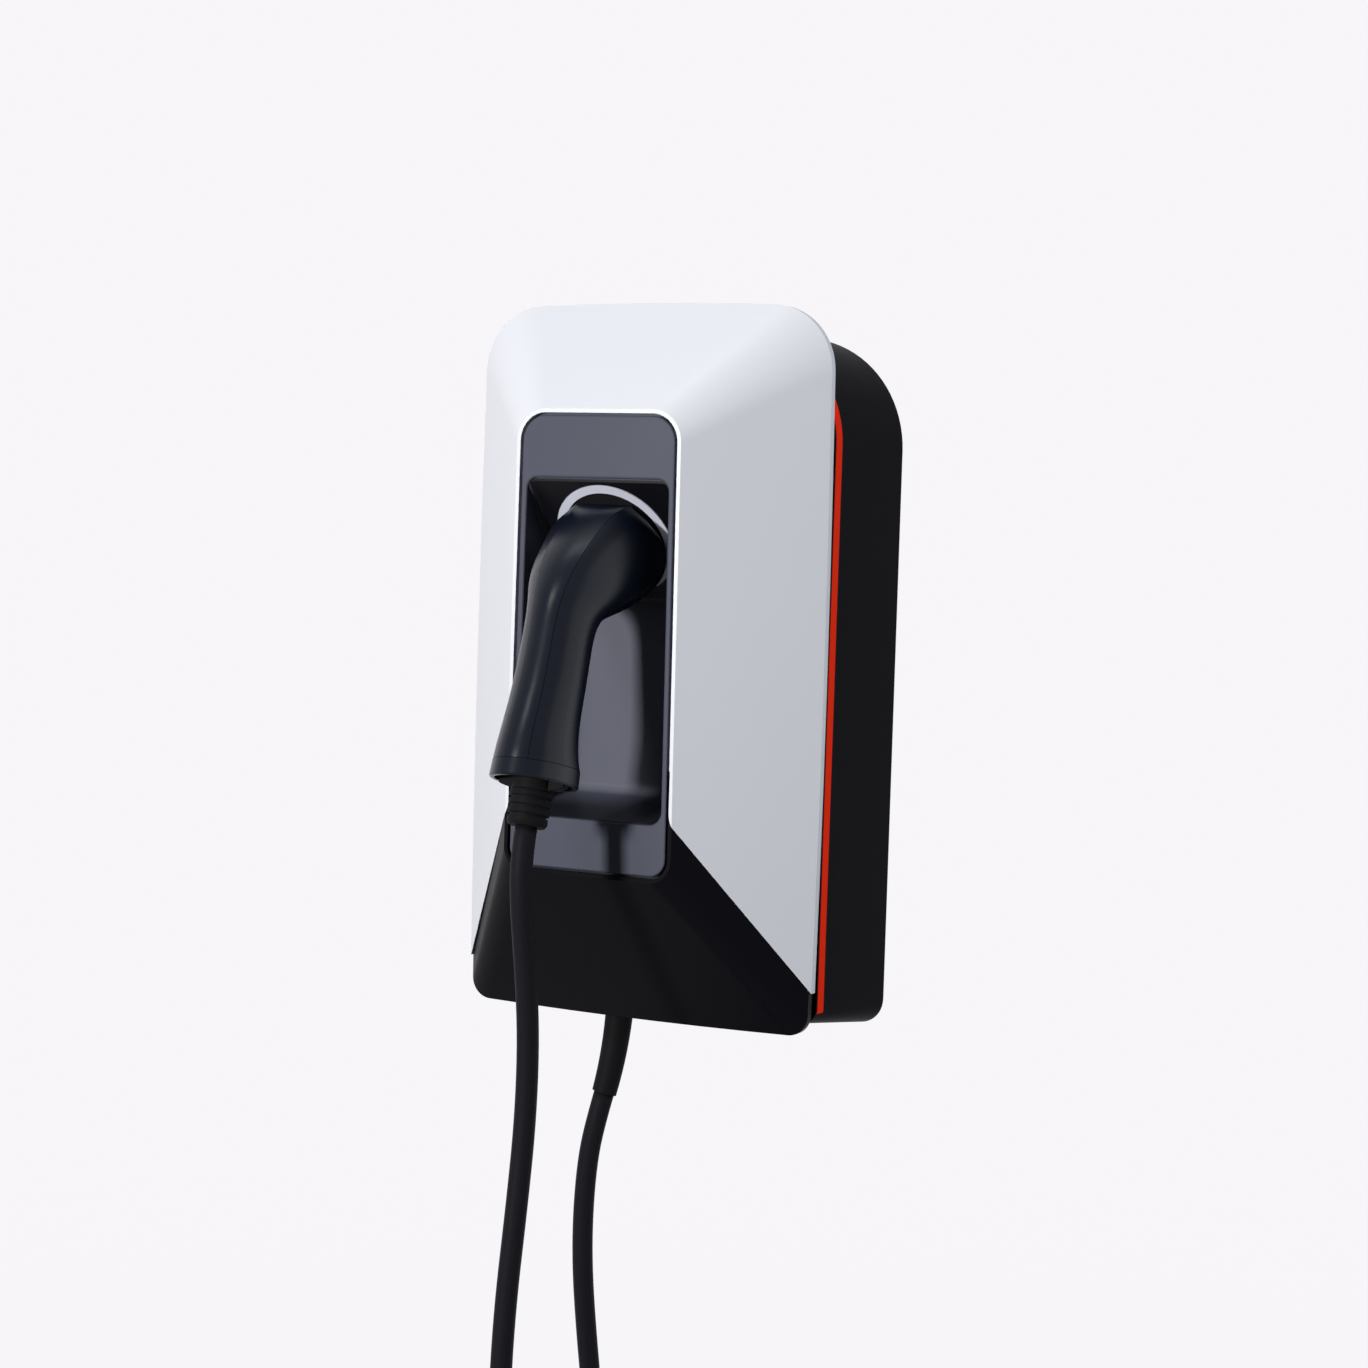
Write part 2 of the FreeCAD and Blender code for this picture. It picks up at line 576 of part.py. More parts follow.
def build_dock_socket():
    """Turned cup with a flange; its bore is round with a flat top, like the connector's nose."""
    flange = "-Sizes.ring_height - Sizes.seat_gap - Sizes.led_board_thickness - Sizes.led_height"
    behind = flange + " - Sizes.socket_wall"
    barrel = "Sizes.nose_radius + Sizes.nose_clearance + Sizes.socket_wall"
    depth = "-Sizes.socket_bore_depth - Sizes.socket_wall"
    inner = "Sizes.ring_radius - Sizes.ring_width - Sizes.seat_gap"
    body = turned("dock_socket", [
        ("0", depth), (barrel, depth), (barrel, behind), ("Sizes.socket_flange_radius", behind),
        ("Sizes.socket_flange_radius", flange), (inner, flange), (inner, "0"), ("0", "0")])
    bore = new_sketch(body, "XY_Plane")
    draw_flat_circle(bore, "Sizes.nose_radius + Sizes.nose_clearance",
                     "Sizes.nose_flat + Sizes.nose_clearance")
    pocket(body, bore, "Sizes.socket_bore_depth")
    put_on_dock(body)


# Rear housing and what is fixed to its outside


def housing_outline(inset, depth, share):
    """Outline of the housing, whose form changes from the back, share 0, to the front, share 1."""
    top, high = size("cover_height") / 2 - size("housing_top_inset"), size("housing_top_radius")
    half = size("cover_width") / 2 + size("housing_flare") * (1 - share)
    back, front = size("housing_back_radius"), size("housing_front_radius")
    low = max(back + (front - back) * share - inset, 2.0)
    corners = frame_corners(half - inset, top - inset, housing_base(share) - inset)
    return outline(corners, [low, low, high - inset, high - inset], depth)


def housing_block(inset):
    """The housing's outer form, or its hollow when it is moved inwards by the wall."""
    back, radius = size("bracket_thickness"), size("housing_back_round")
    sections = []
    for angle in (0, 45, 90):
        swing = math.radians(angle)
        sections.append(housing_outline(inset + radius * (1 - math.sin(swing)),
                                        back + inset + radius * (1 - math.cos(swing)), 0))
    sections.append(housing_outline(inset, size("housing_front_depth"), 1))
    return Part.makeLoft(sections, True, True)


def strip_band(inset, clearance):
    """Flank band of the housing in which an accent strip lies, on both sides at once."""
    front = size("housing_front_depth") - size("strip_setback") + clearance
    width = size("strip_width") + 2 * clearance
    share = housing_share(front - width / 2)
    outside = prism(housing_outline(-1.0, front - width, share), width)
    inside = prism(housing_outline(inset, front - width, share), width)
    drop = size("cover_height") / 2 - size("strip_base_inset") + clearance
    rise = size("cover_height") / 2 - size("strip_top_inset") + clearance
    window = Part.makeBox(size("cover_width") * 2, width * 3, drop + rise,
                          at(-size("cover_width"), front + width, -drop))
    return outside.cut(inside).common(window)


def build_accent_strips():
    depth = size("strip_thickness")
    band = strip_band(depth, 0.0).common(housing_block(-0.2))
    for solid in band.Solids:
        side = "right" if solid.CenterOfMass.x > 0 else "left"
        feature("accent_strip_" + side, solid)


def board_corners():
    """Centres of the four fixing holes of the main board."""
    inset = size("board_hole_inset")
    half, up = size("board_width") / 2 - inset, size("board_height") / 2 - inset
    return [(x, up * z - size("board_drop")) for x in (-half, half) for z in (-1, 1)]


def round_post(x, z, start, end, radius):
    return Part.makeCylinder(radius, end - start, at(x, start, z), FreeCAD.Vector(0, -1, 0))


def board_back():
    return size("bracket_thickness") + size("housing_wall") + size("board_standoff")


def build_rear_housing():
    wall, back, front = size("housing_wall"), size("bracket_thickness"), size("housing_front_depth")
    flange = prism(cover_rim(size("flange_inset"), front), size("flange_thickness"))
    mouth = prism(housing_outline(wall + size("flange_lip"), front - 1, 1), size("flange_thickness") + 2)
    shell = checked_cut(housing_block(0.0), housing_block(wall))
    body = shell.fuse(checked_cut(flange, mouth))
    body = checked_cut(body, strip_band(size("strip_thickness") + size("strip_clearance"),
                                        size("strip_clearance")))
    body = checked_cut(body, seal_ring(0.0, seal_start(), size("seal_thickness") + 1))
    for x, z in board_corners():
        post = round_post(x, z, back + wall - 0.5, board_back(), size("post_radius"))
        bore = round_post(x, z, back + wall + 4, board_back() + 1, size("board_screw_radius"))
        body = checked_cut(body.fuse(post), bore)
    spare = size("hook_clearance")
    for x in (-size("hook_x"), size("hook_x")):
        slot = Part.makeBox(size("hook_width") + 2 * spare, 4 * wall, size("hook_height") + 2 * spare,
                            at(x - size("hook_width") / 2 - spare, back + 3 * wall, size("hook_z") - spare))
        body = checked_cut(body, slot)
    reach = 5 * wall
    gland = Part.makeCylinder(size("gland_barrel_radius") + size("seat_gap"), 2 * reach,
                              FreeCAD.Vector(0, 0, -reach))
    gland.Placement = gland_frame()
    entry = Part.makeCylinder(size("entry_radius") + size("seat_gap"), 2 * reach,
                              FreeCAD.Vector(0, 0, -reach))
    entry.Placement = entry_frame()
    feature("rear_housing", checked_cut(checked_cut(body, gland), entry).removeSplitter())


def seal_ring(clearance, start, thickness):
    """Ring that follows the rim on the housing's flange."""
    outer = size("seal_inset") + clearance
    inner = outer + size("seal_width") - 2 * clearance
    return prism(cover_rim(outer, start), thickness).cut(prism(cover_rim(inner, start - 1), thickness + 2))


def seal_start():
    """Depth of the bottom of the seal's groove in the housing's flange."""
    return size("housing_front_depth") + size("flange_thickness") - size("seal_thickness")


def build_cover_seal():
    thickness = size("seal_thickness") + size("seal_stand")
    feature("cover_seal", seal_ring(size("seal_gap"), seal_start(), thickness))


def build_wall_bracket():
    body = new_body("wall_bracket")
    outline_sketch = new_sketch(body, "XZ_Plane")
    draw_rectangle(outline_sketch, "Sizes.bracket_width", "Sizes.bracket_height")
    plate = pad(body, outline_sketch, "Sizes.bracket_thickness")
    doc.recompute()
    corners = body.newObject("PartDesign::Fillet", "bracket_corners")
    edges = ["Edge%d" % (i + 1) for i, edge in enumerate(plate.Shape.Edges)
             if edge.BoundBox.XLength < 1e-6 and edge.BoundBox.ZLength < 1e-6]
    corners.Base = (plate, edges)
    corners.setExpression("Radius", "Sizes.bracket_radius")
    hooks = new_sketch(body, "XZ_Plane", "Sizes.bracket_thickness")
    for side in ("-", ""):
        draw_rectangle(hooks, "Sizes.hook_width", "Sizes.hook_thickness", side + "Sizes.hook_x",
                       "Sizes.hook_z + Sizes.hook_thickness / 2")
    pad(body, hooks, "Sizes.housing_wall + 2 * Sizes.hook_clearance + Sizes.hook_thickness")
    tips = new_sketch(body, "XZ_Plane",
                      "Sizes.bracket_thickness + Sizes.housing_wall + 2 * Sizes.hook_clearance")
    for side in ("-", ""):
        draw_rectangle(tips, "Sizes.hook_width", "Sizes.hook_height", side + "Sizes.hook_x",
                       "Sizes.hook_z + Sizes.hook_height / 2")
    pad(body, tips, "Sizes.hook_thickness")
    holes = new_sketch(body, "XZ_Plane")
    for across in ("-", ""):
        for up in ("-", ""):
            draw_circle(holes, "Sizes.bracket_hole_radius", across + "Sizes.bracket_hole_x",
                        up + "Sizes.bracket_hole_z")
    pocket(body, holes)
    window = new_sketch(body, "XZ_Plane")
    draw_rectangle(window, "Sizes.window_width", "Sizes.window_height", "0", "-Sizes.window_drop")
    pocket(body, window)


# Electronics


def build_main_board():
    body = new_body("main_board")
    sketch = new_sketch(body, "XZ_Plane")
    draw_rectangle(sketch, "Sizes.board_width", "Sizes.board_height")
    pad(body, sketch, "Sizes.board_thickness")
    holes = new_sketch(body, "XZ_Plane")
    for across in ("-", ""):
        for up in ("-", ""):
            draw_circle(holes, "Sizes.board_screw_radius + Sizes.seat_gap",
                        across + "(Sizes.board_width / 2 - Sizes.board_hole_inset)",
                        up + "(Sizes.board_height / 2 - Sizes.board_hole_inset)")
    pocket(body, holes)
    place(body, depth="Sizes.bracket_thickness + Sizes.housing_wall + Sizes.board_standoff",
          z="-Sizes.board_drop")


BOARD_FRONT = "Sizes.bracket_thickness + Sizes.housing_wall + Sizes.board_standoff + Sizes.board_thickness"


def block(label, width, height, depth, x, z, chamfer):
    """Rectangular component that stands on the main board, with its front edges chamfered."""
    body = new_body(label)
    sketch = new_sketch(body, "XZ_Plane")
    draw_rectangle(sketch, width, height)
    base = pad(body, sketch, depth)
    doc.recompute()
    edges = ["Edge%d" % (i + 1) for i, edge in enumerate(base.Shape.Edges)
             if edge.BoundBox.YMax < base.Shape.BoundBox.YMin + 1e-6]
    bevel = body.newObject("PartDesign::Chamfer", label + "_bevel")
    bevel.Base = (base, edges)
    bevel.Size = chamfer
    place(body, x, BOARD_FRONT, z)
    return body


def build_components():
    block("contactor", "Sizes.contactor_width", "Sizes.contactor_height", "Sizes.contactor_depth",
          "Sizes.left_column", "Sizes.contactor_rise", 2.0)
    block("power_supply", "Sizes.supply_width", "Sizes.supply_height", "Sizes.supply_depth",
          "Sizes.right_column", "Sizes.supply_rise", 1.5)
    terminals = block("terminal_block", "Sizes.terminal_width", "Sizes.terminal_height",
                      "Sizes.terminal_depth", "Sizes.terminal_x", "-Sizes.terminal_drop", 1.0)
    doc.recompute()
    entry = new_sketch(terminals, "XY_Plane", "-Sizes.terminal_height / 2")
    draw_circle(entry, "Sizes.terminal_entry_radius", "-2 * Sizes.terminal_pitch",
                "-Sizes.terminal_depth * 0.4")
    first = pocket(terminals, entry, "12")
    first.Reversed = True
    row_of_entries = terminals.newObject("PartDesign::LinearPattern", "terminal_entries")
    row_of_entries.Originals = [first]
    row_of_entries.Direction = (entry, ["H_Axis"])
    row_of_entries.setExpression("Length", "4 * Sizes.terminal_pitch")
    row_of_entries.Occurrences = 5
    terminals.Tip = row_of_entries
    sensor = turned("current_sensor", [
        ("Sizes.sensor_bore", "0"), ("Sizes.sensor_radius", "0"),
        ("Sizes.sensor_radius", "Sizes.sensor_depth"), ("Sizes.sensor_bore", "Sizes.sensor_depth")])
    place(sensor, "Sizes.right_column", BOARD_FRONT, "-Sizes.sensor_drop")
    sensor.setExpression("Placement.Rotation.Angle", "90 deg")
    sensor.setExpression("Placement.Rotation.Axis.x", "1")
    sensor.setExpression("Placement.Rotation.Axis.z", "0")


def build_reader_board():
    body = new_body("reader_board")
    sketch = new_sketch(body, "XZ_Plane")
    draw_rectangle(sketch, "Sizes.reader_width", "Sizes.reader_height")
    pad(body, sketch, "Sizes.board_thickness")
    place(body, "0", "Sizes.console_depth - Sizes.cover_wall * sqrt(2) - Sizes.console_plate"
          " - Sizes.board_thickness - 2 * Sizes.seat_gap",
          "Sizes.console_top - Sizes.reader_height / 2 - Sizes.reader_margin")


def build_board_screws():
    screws = []
    head = board_back() + size("board_thickness")
    radius = size("board_screw_radius")
    for x, z in board_corners():
        shank = round_post(x, z, head - size("board_screw_length"), head, radius)
        screws.append(shank.fuse(round_post(x, z, head, head + 1.3 * radius, 2 * radius)))
    feature("board_screws", Part.makeCompound(screws))


# Cable entries


def entry_frame():
    depth = size("gland_depth")
    return axis_frame(size("entry_x"), depth, base_height(depth), base_tilt())


def put_on_base(body, x):
    """Stand a sub-part on the sloping base of the housing, pointing out of it."""
    frame = gland_frame()
    body.Placement = frame
    body.setExpression("Placement.Base.x", x)


def build_gland():
    body = turned("cable_gland", [
        ("0", "Sizes.seat_gap + Sizes.gland_flange"), ("0", "Sizes.seat_gap - Sizes.gland_length"),
        ("Sizes.gland_barrel_radius", "Sizes.seat_gap - Sizes.gland_length"),
        ("Sizes.gland_barrel_radius", "Sizes.seat_gap"), ("Sizes.gland_flange_radius", "Sizes.seat_gap"),
        ("Sizes.gland_flange_radius", "Sizes.seat_gap + Sizes.gland_flange")])
    put_on_base(body, "Sizes.gland_x")
    nut = new_body("gland_nut")
    sketch = new_sketch(nut, "XY_Plane", "-Sizes.housing_wall - Sizes.seat_gap - Sizes.gland_nut_height")
    radius = size("gland_nut_width") / math.sqrt(3)
    corner, sixth = FreeCAD.Vector(radius, 0, 0), FreeCAD.Rotation(FreeCAD.Vector(0, 0, 1), 60)
    points = [corner]
    for i in range(5):
        points.append(sixth.multVec(points[-1]))
    for i in range(6):
        sketch.addGeometry(Part.LineSegment(points[i], points[(i + 1) % 6]))
    for i in range(6):
        sketch.addConstraint(Sketcher.Constraint("Coincident", i, 2, (i + 1) % 6, 1))
    circle = sketch.addGeometry(Part.Circle(FreeCAD.Vector(), FreeCAD.Vector(0, 0, 1), radius), True)
    sketch.addConstraint(Sketcher.Constraint("Coincident", circle, 3, -1, 1))
    for i in range(6):
        sketch.addConstraint(Sketcher.Constraint("PointOnObject", i, 1, circle))
    for i in range(5):
        sketch.addConstraint(Sketcher.Constraint("Equal", i, i + 1))
    sketch.addConstraint(Sketcher.Constraint("PointOnObject", 0, 1, -1))
    bind(sketch, Sketcher.Constraint("Radius", circle, radius), "Sizes.gland_nut_width / sqrt(3)")
    draw_circle(sketch, "Sizes.gland_barrel_radius + Sizes.seat_gap")
    pad(nut, sketch, "Sizes.gland_nut_height")
    put_on_base(nut, "Sizes.gland_x")
    plug = turned("entry_plug", [
        ("0", "Sizes.seat_gap + Sizes.entry_cap"), ("0", "-2 * Sizes.housing_wall"),
        ("Sizes.entry_radius", "-2 * Sizes.housing_wall"),
        ("Sizes.entry_radius", "Sizes.seat_gap"), ("Sizes.entry_radius + Sizes.entry_lip", "Sizes.seat_gap"),
        ("Sizes.entry_radius + Sizes.entry_lip", "Sizes.seat_gap + Sizes.entry_cap / 2"),
        ("Sizes.entry_radius + Sizes.entry_lip / 2", "Sizes.seat_gap + Sizes.entry_cap")])
    put_on_base(plug, "Sizes.entry_x")


def circle_wire(centre, direction, radius):
    return Part.Wire(Part.makeCircle(radius, centre, direction))


def sleeve_line():
    """Centre points and directions of the gland's bent sleeve, from its root to its end."""
    frame = gland_frame()
    start = frame.multVec(FreeCAD.Vector(0, 0, size("seat_gap") + size("gland_flange")))
    root = frame.Rotation.multVec(FreeCAD.Vector(0, 0, 1))
    steps, line, point = count_of("sleeve_step_count"), [], start
    for i in range(steps + 1):
        lean = math.radians(size("sleeve_lean") * i / steps)
        direction = FreeCAD.Vector(root.x - math.sin(lean), root.y - 0.3 * math.sin(lean), root.z).normalize()
        line.append((point, direction))
        point = point + direction * (size("sleeve_length") / steps)
    return line


def build_sleeve():
    """Rubber sleeve that bends with the cable: a ruled loft through turning circles."""
    line = sleeve_line()
    root, end = size("sleeve_root_radius"), size("sleeve_end_radius")
    wires = [circle_wire(point, direction, root + (end - root) * i / (len(line) - 1))
             for i, (point, direction) in enumerate(line)]
    feature("gland_sleeve", Part.makeLoft(wires, True, True))


# Charging connector


def grip_stations():
    """Sections of the connector from the dock to the parting line above its collar.

    Each has a frame, half width, rise and drop about the centre line, half width of its front panel and
    the share by which that panel is flat.
    """
    root, root_flat, palm = size("head_root_radius"), size("head_root_flat"), size("palm_radius")
    skirt, panel = size("skirt_radius") - size("skirt_inset"), size("grip_panel")
    parting = end_frame().multVec(FreeCAD.Vector(0, 0, -size("collar_height") - size("seat_gap")))
    flare = (skirt + palm) / 2

    def on_dock(reach, turn=0.0):
        return axis_frame(0, *dock_point(0.0, reach), size("dock_tilt") + turn)

    def near_end(name):
        return axis_frame(0, size("end_depth") - size(name + "_back"), size(name + "_up") - size("end_drop"),
                          size(name + "_tilt"))

    def section(name, *parts):
        return tuple(size(name + "_" + part) for part in ("half_width", "rise", "drop", "panel") + parts)

    return [
        (on_dock(size("shell_stand")), root, root_flat, root, math.sqrt(root ** 2 - root_flat ** 2), 1.0),
        (on_dock(size("head_reach")),) + section("head", "flat"),
        (on_dock(size("knuckle_reach"), size("knuckle_turn")),) + section("knuckle", "flat"),
        (near_end("bend"),) + section("bend", "flat"),
        (near_end("neck"),) + section("neck", "flat"),
        (near_end("grip"),) + section("grip") + (0.0,),
        (near_end("palm"), palm, palm, palm, panel, 0.0),
        (near_end("flare"), flare, flare, flare, panel, 0.0),
        (axis_frame(0, -parting.y, parting.z, size("end_tilt")), skirt, skirt, skirt, panel, 0.0)]


def section_place(half_width, rise, drop, angle):
    """A point of the oval on which a section is based; 90 degrees is the front."""
    turn = math.radians(angle)
    return half_width * math.cos(turn), (rise if angle > 0 else drop) * math.sin(turn)


def panel_edge(half_width, rise, panel, flat):
    """Where the front panel meets the side: on the oval, or as high as the panel's middle if it is flat."""
    oval = rise * math.sqrt(1 - (panel / half_width) ** 2)
    return panel, oval + (rise - oval) * flat


def section_wire(station, inset):
    """Closed section of five curves: the front panel, a shoulder on each side and the two halves below."""
    frame, half_width, rise, drop, panel, flat = station
    half_width, rise, drop = half_width - inset, rise - inset, drop - inset
    panel -= inset * panel / (half_width + inset)
    shoulder = size("shoulder_angle")
    start = math.degrees(math.acos(panel / half_width))
    corner = panel_edge(half_width, rise, panel, flat)
    base = section_place(half_width, rise, drop, start)
    lift = corner[1] - base[1]
    sides = [[], []]
    for share in (0.0, 0.5, 1.0):
        x, y = section_place(half_width, rise, drop, shoulder + (start - shoulder) * share)
        sides[0].append((x, y + lift * share))
    for share in (0.0, 0.25, 0.5, 0.75, 1.0):
        sides[1].append(section_place(half_width, rise, drop, shoulder - (shoulder + 90) * share))
    crown = (0.0, rise + size("panel_crown") * flat)
    panel_points = [corner, (panel / 2, (corner[1] + 3 * crown[1]) / 4), crown,
                    (-panel / 2, (corner[1] + 3 * crown[1]) / 4), (-corner[0], corner[1])]
    mirrored = [[(-x, y) for x, y in reversed(points)] for points in sides]
    edges = []
    for points in (panel_points, mirrored[0], mirrored[1], sides[1][::-1], sides[0]):
        curve = Part.BSplineCurve()
        curve.interpolate(Points=[frame.multVec(FreeCAD.Vector(x, y, 0)) for x, y in points],
                          Parameters=[float(i) for i in range(len(points))])
        edges.append(curve.toShape())
    return Part.Wire(Part.sortEdges(edges)[0])


def grip_loft(inset):
    """Smooth body through the stations, or its hollow when the sections shrink by the wall."""
    return Part.makeLoft([section_wire(station, inset) for station in grip_stations()], True, False)


def beyond_seam(gap):
    """Everything to the right of the seam, which follows the right-hand edge of the front panel."""
    points = []
    for frame, half_width, rise, drop, panel, flat in grip_stations():
        x, y = panel_edge(half_width, rise, panel, flat)
        points.append(frame.multVec(FreeCAD.Vector(x, y, 0)))
    points = [FreeCAD.Vector(point.x + gap, 0, point.z) for point in points]
    high = FreeCAD.Vector(points[0].x, 0, points[0].z + size("cover_height"))
    low = FreeCAD.Vector(points[-1].x, 0, points[-1].z - size("cover_height"))
    across = FreeCAD.Vector(size("cover_width"), 0, 0)
    curve = Part.BSplineCurve()
    curve.interpolate(Points=points)
    corners = [points[-1], low, low + across, high + across, high, points[0]]
    edges = [curve.toShape()] + [Part.LineSegment(a, b).toShape() for a, b in zip(corners, corners[1:])]
    face = Part.Face(Part.Wire(edges))
    return face.extrude(FreeCAD.Vector(0, -2 * size("end_depth"), 0))


def nose_prism(grow, start, end):
    """Round prism with a flat top on the dock's axis."""
    radius, flat = size("nose_radius") + grow, size("nose_flat") + grow
    bar = Part.makeCylinder(radius, end - start, FreeCAD.Vector(0, 0, start))
    cut = Part.makeBox(4 * radius, radius, end - start, FreeCAD.Vector(-2 * radius, flat, start))
    result = bar.cut(cut)
    result.Placement = dock_frame()
    return result


def boss_places():
    """Depth and height of the screw bosses that join the two shells, on the grip's centre line."""
    stations = grip_stations()
    centres = [stations[index][0].Base for index in (4, 6)]
    return [(-centre.y, centre.z) for centre in centres]


def across_rod(radius, start, end, depth, z):
    """Round rod along X."""
    return Part.makeCylinder(radius, end - start, at(start, depth, z), FreeCAD.Vector(1, 0, 0))


def build_handle():
    """Two shells parted beside the front panel, with screw bosses inside and screw heads on the left."""
    wall, half_seam = size("shell_wall"), size("seam_width") / 2
    outer, hollow = grip_loft(0.0), grip_loft(wall)
    box, radius = outer.BoundBox, 2 * size("head_root_radius")
    front = size("shell_stand") + wall
    root_wall = Part.makeCylinder(radius, radius, FreeCAD.Vector(0, 0, front - radius))
    root_wall.Placement = dock_frame()
    hollow = hollow.cut(root_wall)
    for depth, z in boss_places():
        hollow = hollow.cut(across_rod(2.7 * size("screw_radius"), box.XMin, box.XMax, depth, z))
    nose = nose_prism(size("seat_gap"), -2 * front, front + 1)
    body = checked_cut(checked_cut(outer, hollow), nose)
    bore, counterbore = size("screw_radius") + 0.1, size("screw_head_radius") + 0.4
    seat, end = -size("screw_seat_x"), size("screw_length") - size("screw_seat_x") + 1
    left = checked_cut(body, beyond_seam(-half_seam))
    right = body.common(beyond_seam(half_seam))
    for depth, z in boss_places():
        hole = across_rod(bore, seat, end, depth, z)
        left, right = checked_cut(left, hole), checked_cut(right, hole)
        left = checked_cut(left, across_rod(counterbore, box.XMin - 1, seat, depth, z))
    feature("handle_left", left)
    feature("handle_right", right)


def build_handle_screws():
    screws = []
    seat = -size("screw_seat_x")
    for depth, z in boss_places():
        shank = across_rod(size("screw_radius"), seat, seat + size("screw_length"), depth, z)
        head = across_rod(size("screw_head_radius"), seat - size("screw_head_height"), seat, depth, z)
        screws.append(shank.fuse(head))
    feature("handle_screws", Part.makeCompound(screws))


def contact_places():
    """Place and radius of the contacts: two small ones above, three and two large ones below."""
    ring, small, large = size("contact_circle"), size("signal_radius"), size("contact_radius")
    return [(ring * x, ring * y, radius) for x, y, radius in (
        (-0.62, 0.86, small), (0.62, 0.86, small), (-0.98, 0.1, large), (0, 0.06, large),
        (0.98, 0.1, large), (-0.55, -0.8, large), (0.55, -0.8, large))]


def build_nose():
    """Contact carrier: a flat-topped round nose with a flange behind the shells' front wall."""
    start = -size("nose_length")
    behind = size("shell_stand") + size("shell_wall") + size("seat_gap")
    length, recess = size("contact_length"), 3
    nose = nose_prism(0.0, start, behind).fuse(nose_prism(1.2, behind, behind + 3))
    for x, y, radius in contact_places():
        hole = Part.makeCylinder(radius + 0.1, recess + length, FreeCAD.Vector(x, y, start))
        hole.Placement = dock_frame()
        nose = checked_cut(nose, hole)
    feature("connector_nose", nose.removeSplitter())
    sleeves = []
    for x, y, radius in contact_places():
        sleeve = Part.makeCylinder(radius, length, FreeCAD.Vector(x, y, start + recess))
        bore = Part.makeCylinder(radius * size("contact_bore_share"), length - recess,
                                 FreeCAD.Vector(x, y, start + recess - 1))
        sleeve = sleeve.cut(bore)
        sleeve.Placement = dock_frame()
        sleeves.append(sleeve)
    feature("contact_sleeves", Part.makeCompound(sleeves))
    seal = nose_prism(size("seat_gap") + 1.8, 0.7, 2.2).cut(nose_prism(size("seat_gap"), 0, 3))
    feature("nose_seal", seal)


def put_on_end(body):
    """Stand a sub-part on the axis of the connector's lower end."""
    body.setExpression("Placement.Base.y", "-Sizes.end_depth")
    body.setExpression("Placement.Base.z", "-Sizes.end_drop")
    body.setExpression("Placement.Rotation.Angle", "90 deg + Sizes.end_tilt * 1 deg")
    body.setExpression("Placement.Rotation.Axis.x", "1")
    body.setExpression("Placement.Rotation.Axis.z", "0")


def build_lower_end():
    """Collar with its spigot, cable clamp with webs and clips, and the ribbed strain relief."""
    inner = "Sizes.clamp_radius + Sizes.seat_gap"
    spigot = "Sizes.skirt_radius - Sizes.shell_wall - 1.9"
    spigot_end = "-Sizes.collar_height - Sizes.spigot_length"
    wall = "Sizes.skirt_radius - Sizes.shell_wall"
    collar = turned("end_collar", [
        (inner, spigot_end), (spigot, spigot_end),
        (spigot, "-Sizes.collar_height"), ("Sizes.skirt_radius - 0.4", "-Sizes.collar_height"),
        ("Sizes.skirt_radius", "-1"), ("Sizes.skirt_radius - 0.6", "0"), (wall, "0"),
        (wall, "-Sizes.collar_height + 2.4"), (inner, "-Sizes.collar_height + 2.4")])
    put_on_end(collar)
    clamp = turned("cable_clamp", [
        ("0", "Sizes.clamp_outside"), ("0", "-Sizes.clamp_inside"),
        ("Sizes.clamp_radius", "-Sizes.clamp_inside"),
        ("Sizes.clamp_radius", "Sizes.clamp_outside - 1"), ("Sizes.clamp_radius - 1", "Sizes.clamp_outside")])
    webs = new_sketch(clamp, "XY_Plane", "-Sizes.collar_height + 2.7")
    draw_rectangle(webs, "2 * (Sizes.skirt_radius - Sizes.shell_wall - Sizes.seat_gap)", "Sizes.clamp_web")
    pad(clamp, webs, "Sizes.collar_height - 2")
    clips = new_sketch(clamp, "XZ_Plane", "-Sizes.clip_width / 2")
    for side in ("-", ""):
        draw_profile(clips, [(side + "(%s)" % x, y) for x, y in (
            ("Sizes.clamp_radius / 2", "-Sizes.collar_height / 2"),
            ("Sizes.clip_reach", "-Sizes.clip_width / 2"), ("Sizes.clip_reach", "Sizes.clip_tip / 2"),
            ("Sizes.clip_reach - Sizes.clip_tip", "Sizes.clip_tip"),
            ("Sizes.clamp_radius / 2", "Sizes.clamp_outside"))])
    pad(clamp, clips, "Sizes.clip_width")
    put_on_end(clamp)
    start = "Sizes.clamp_outside"
    ribs = [("0", start + " + Sizes.relief_length"), ("0", start)]
    count = count_of("relief_rib_count")
    for i in range(count):
        share = i / count
        low = "%s + Sizes.relief_length * %.4f" % (start, share)
        crest = "Sizes.relief_radius - Sizes.relief_taper * %.4f" % share
        ribs += [(crest, low), (crest, low + " + Sizes.relief_length * %.4f" % (0.62 / count))]
        if i < count - 1:
            groove = crest + " - Sizes.relief_groove"
            ribs += [(groove, low + " + Sizes.relief_length * %.4f" % (0.66 / count)),
                     (groove, low + " + Sizes.relief_length * %.4f" % (0.96 / count))]
        else:
            ribs += [(crest + " - 1.2", start + " + Sizes.relief_length")]
    put_on_end(turned("strain_relief", ribs))


# Charging cable


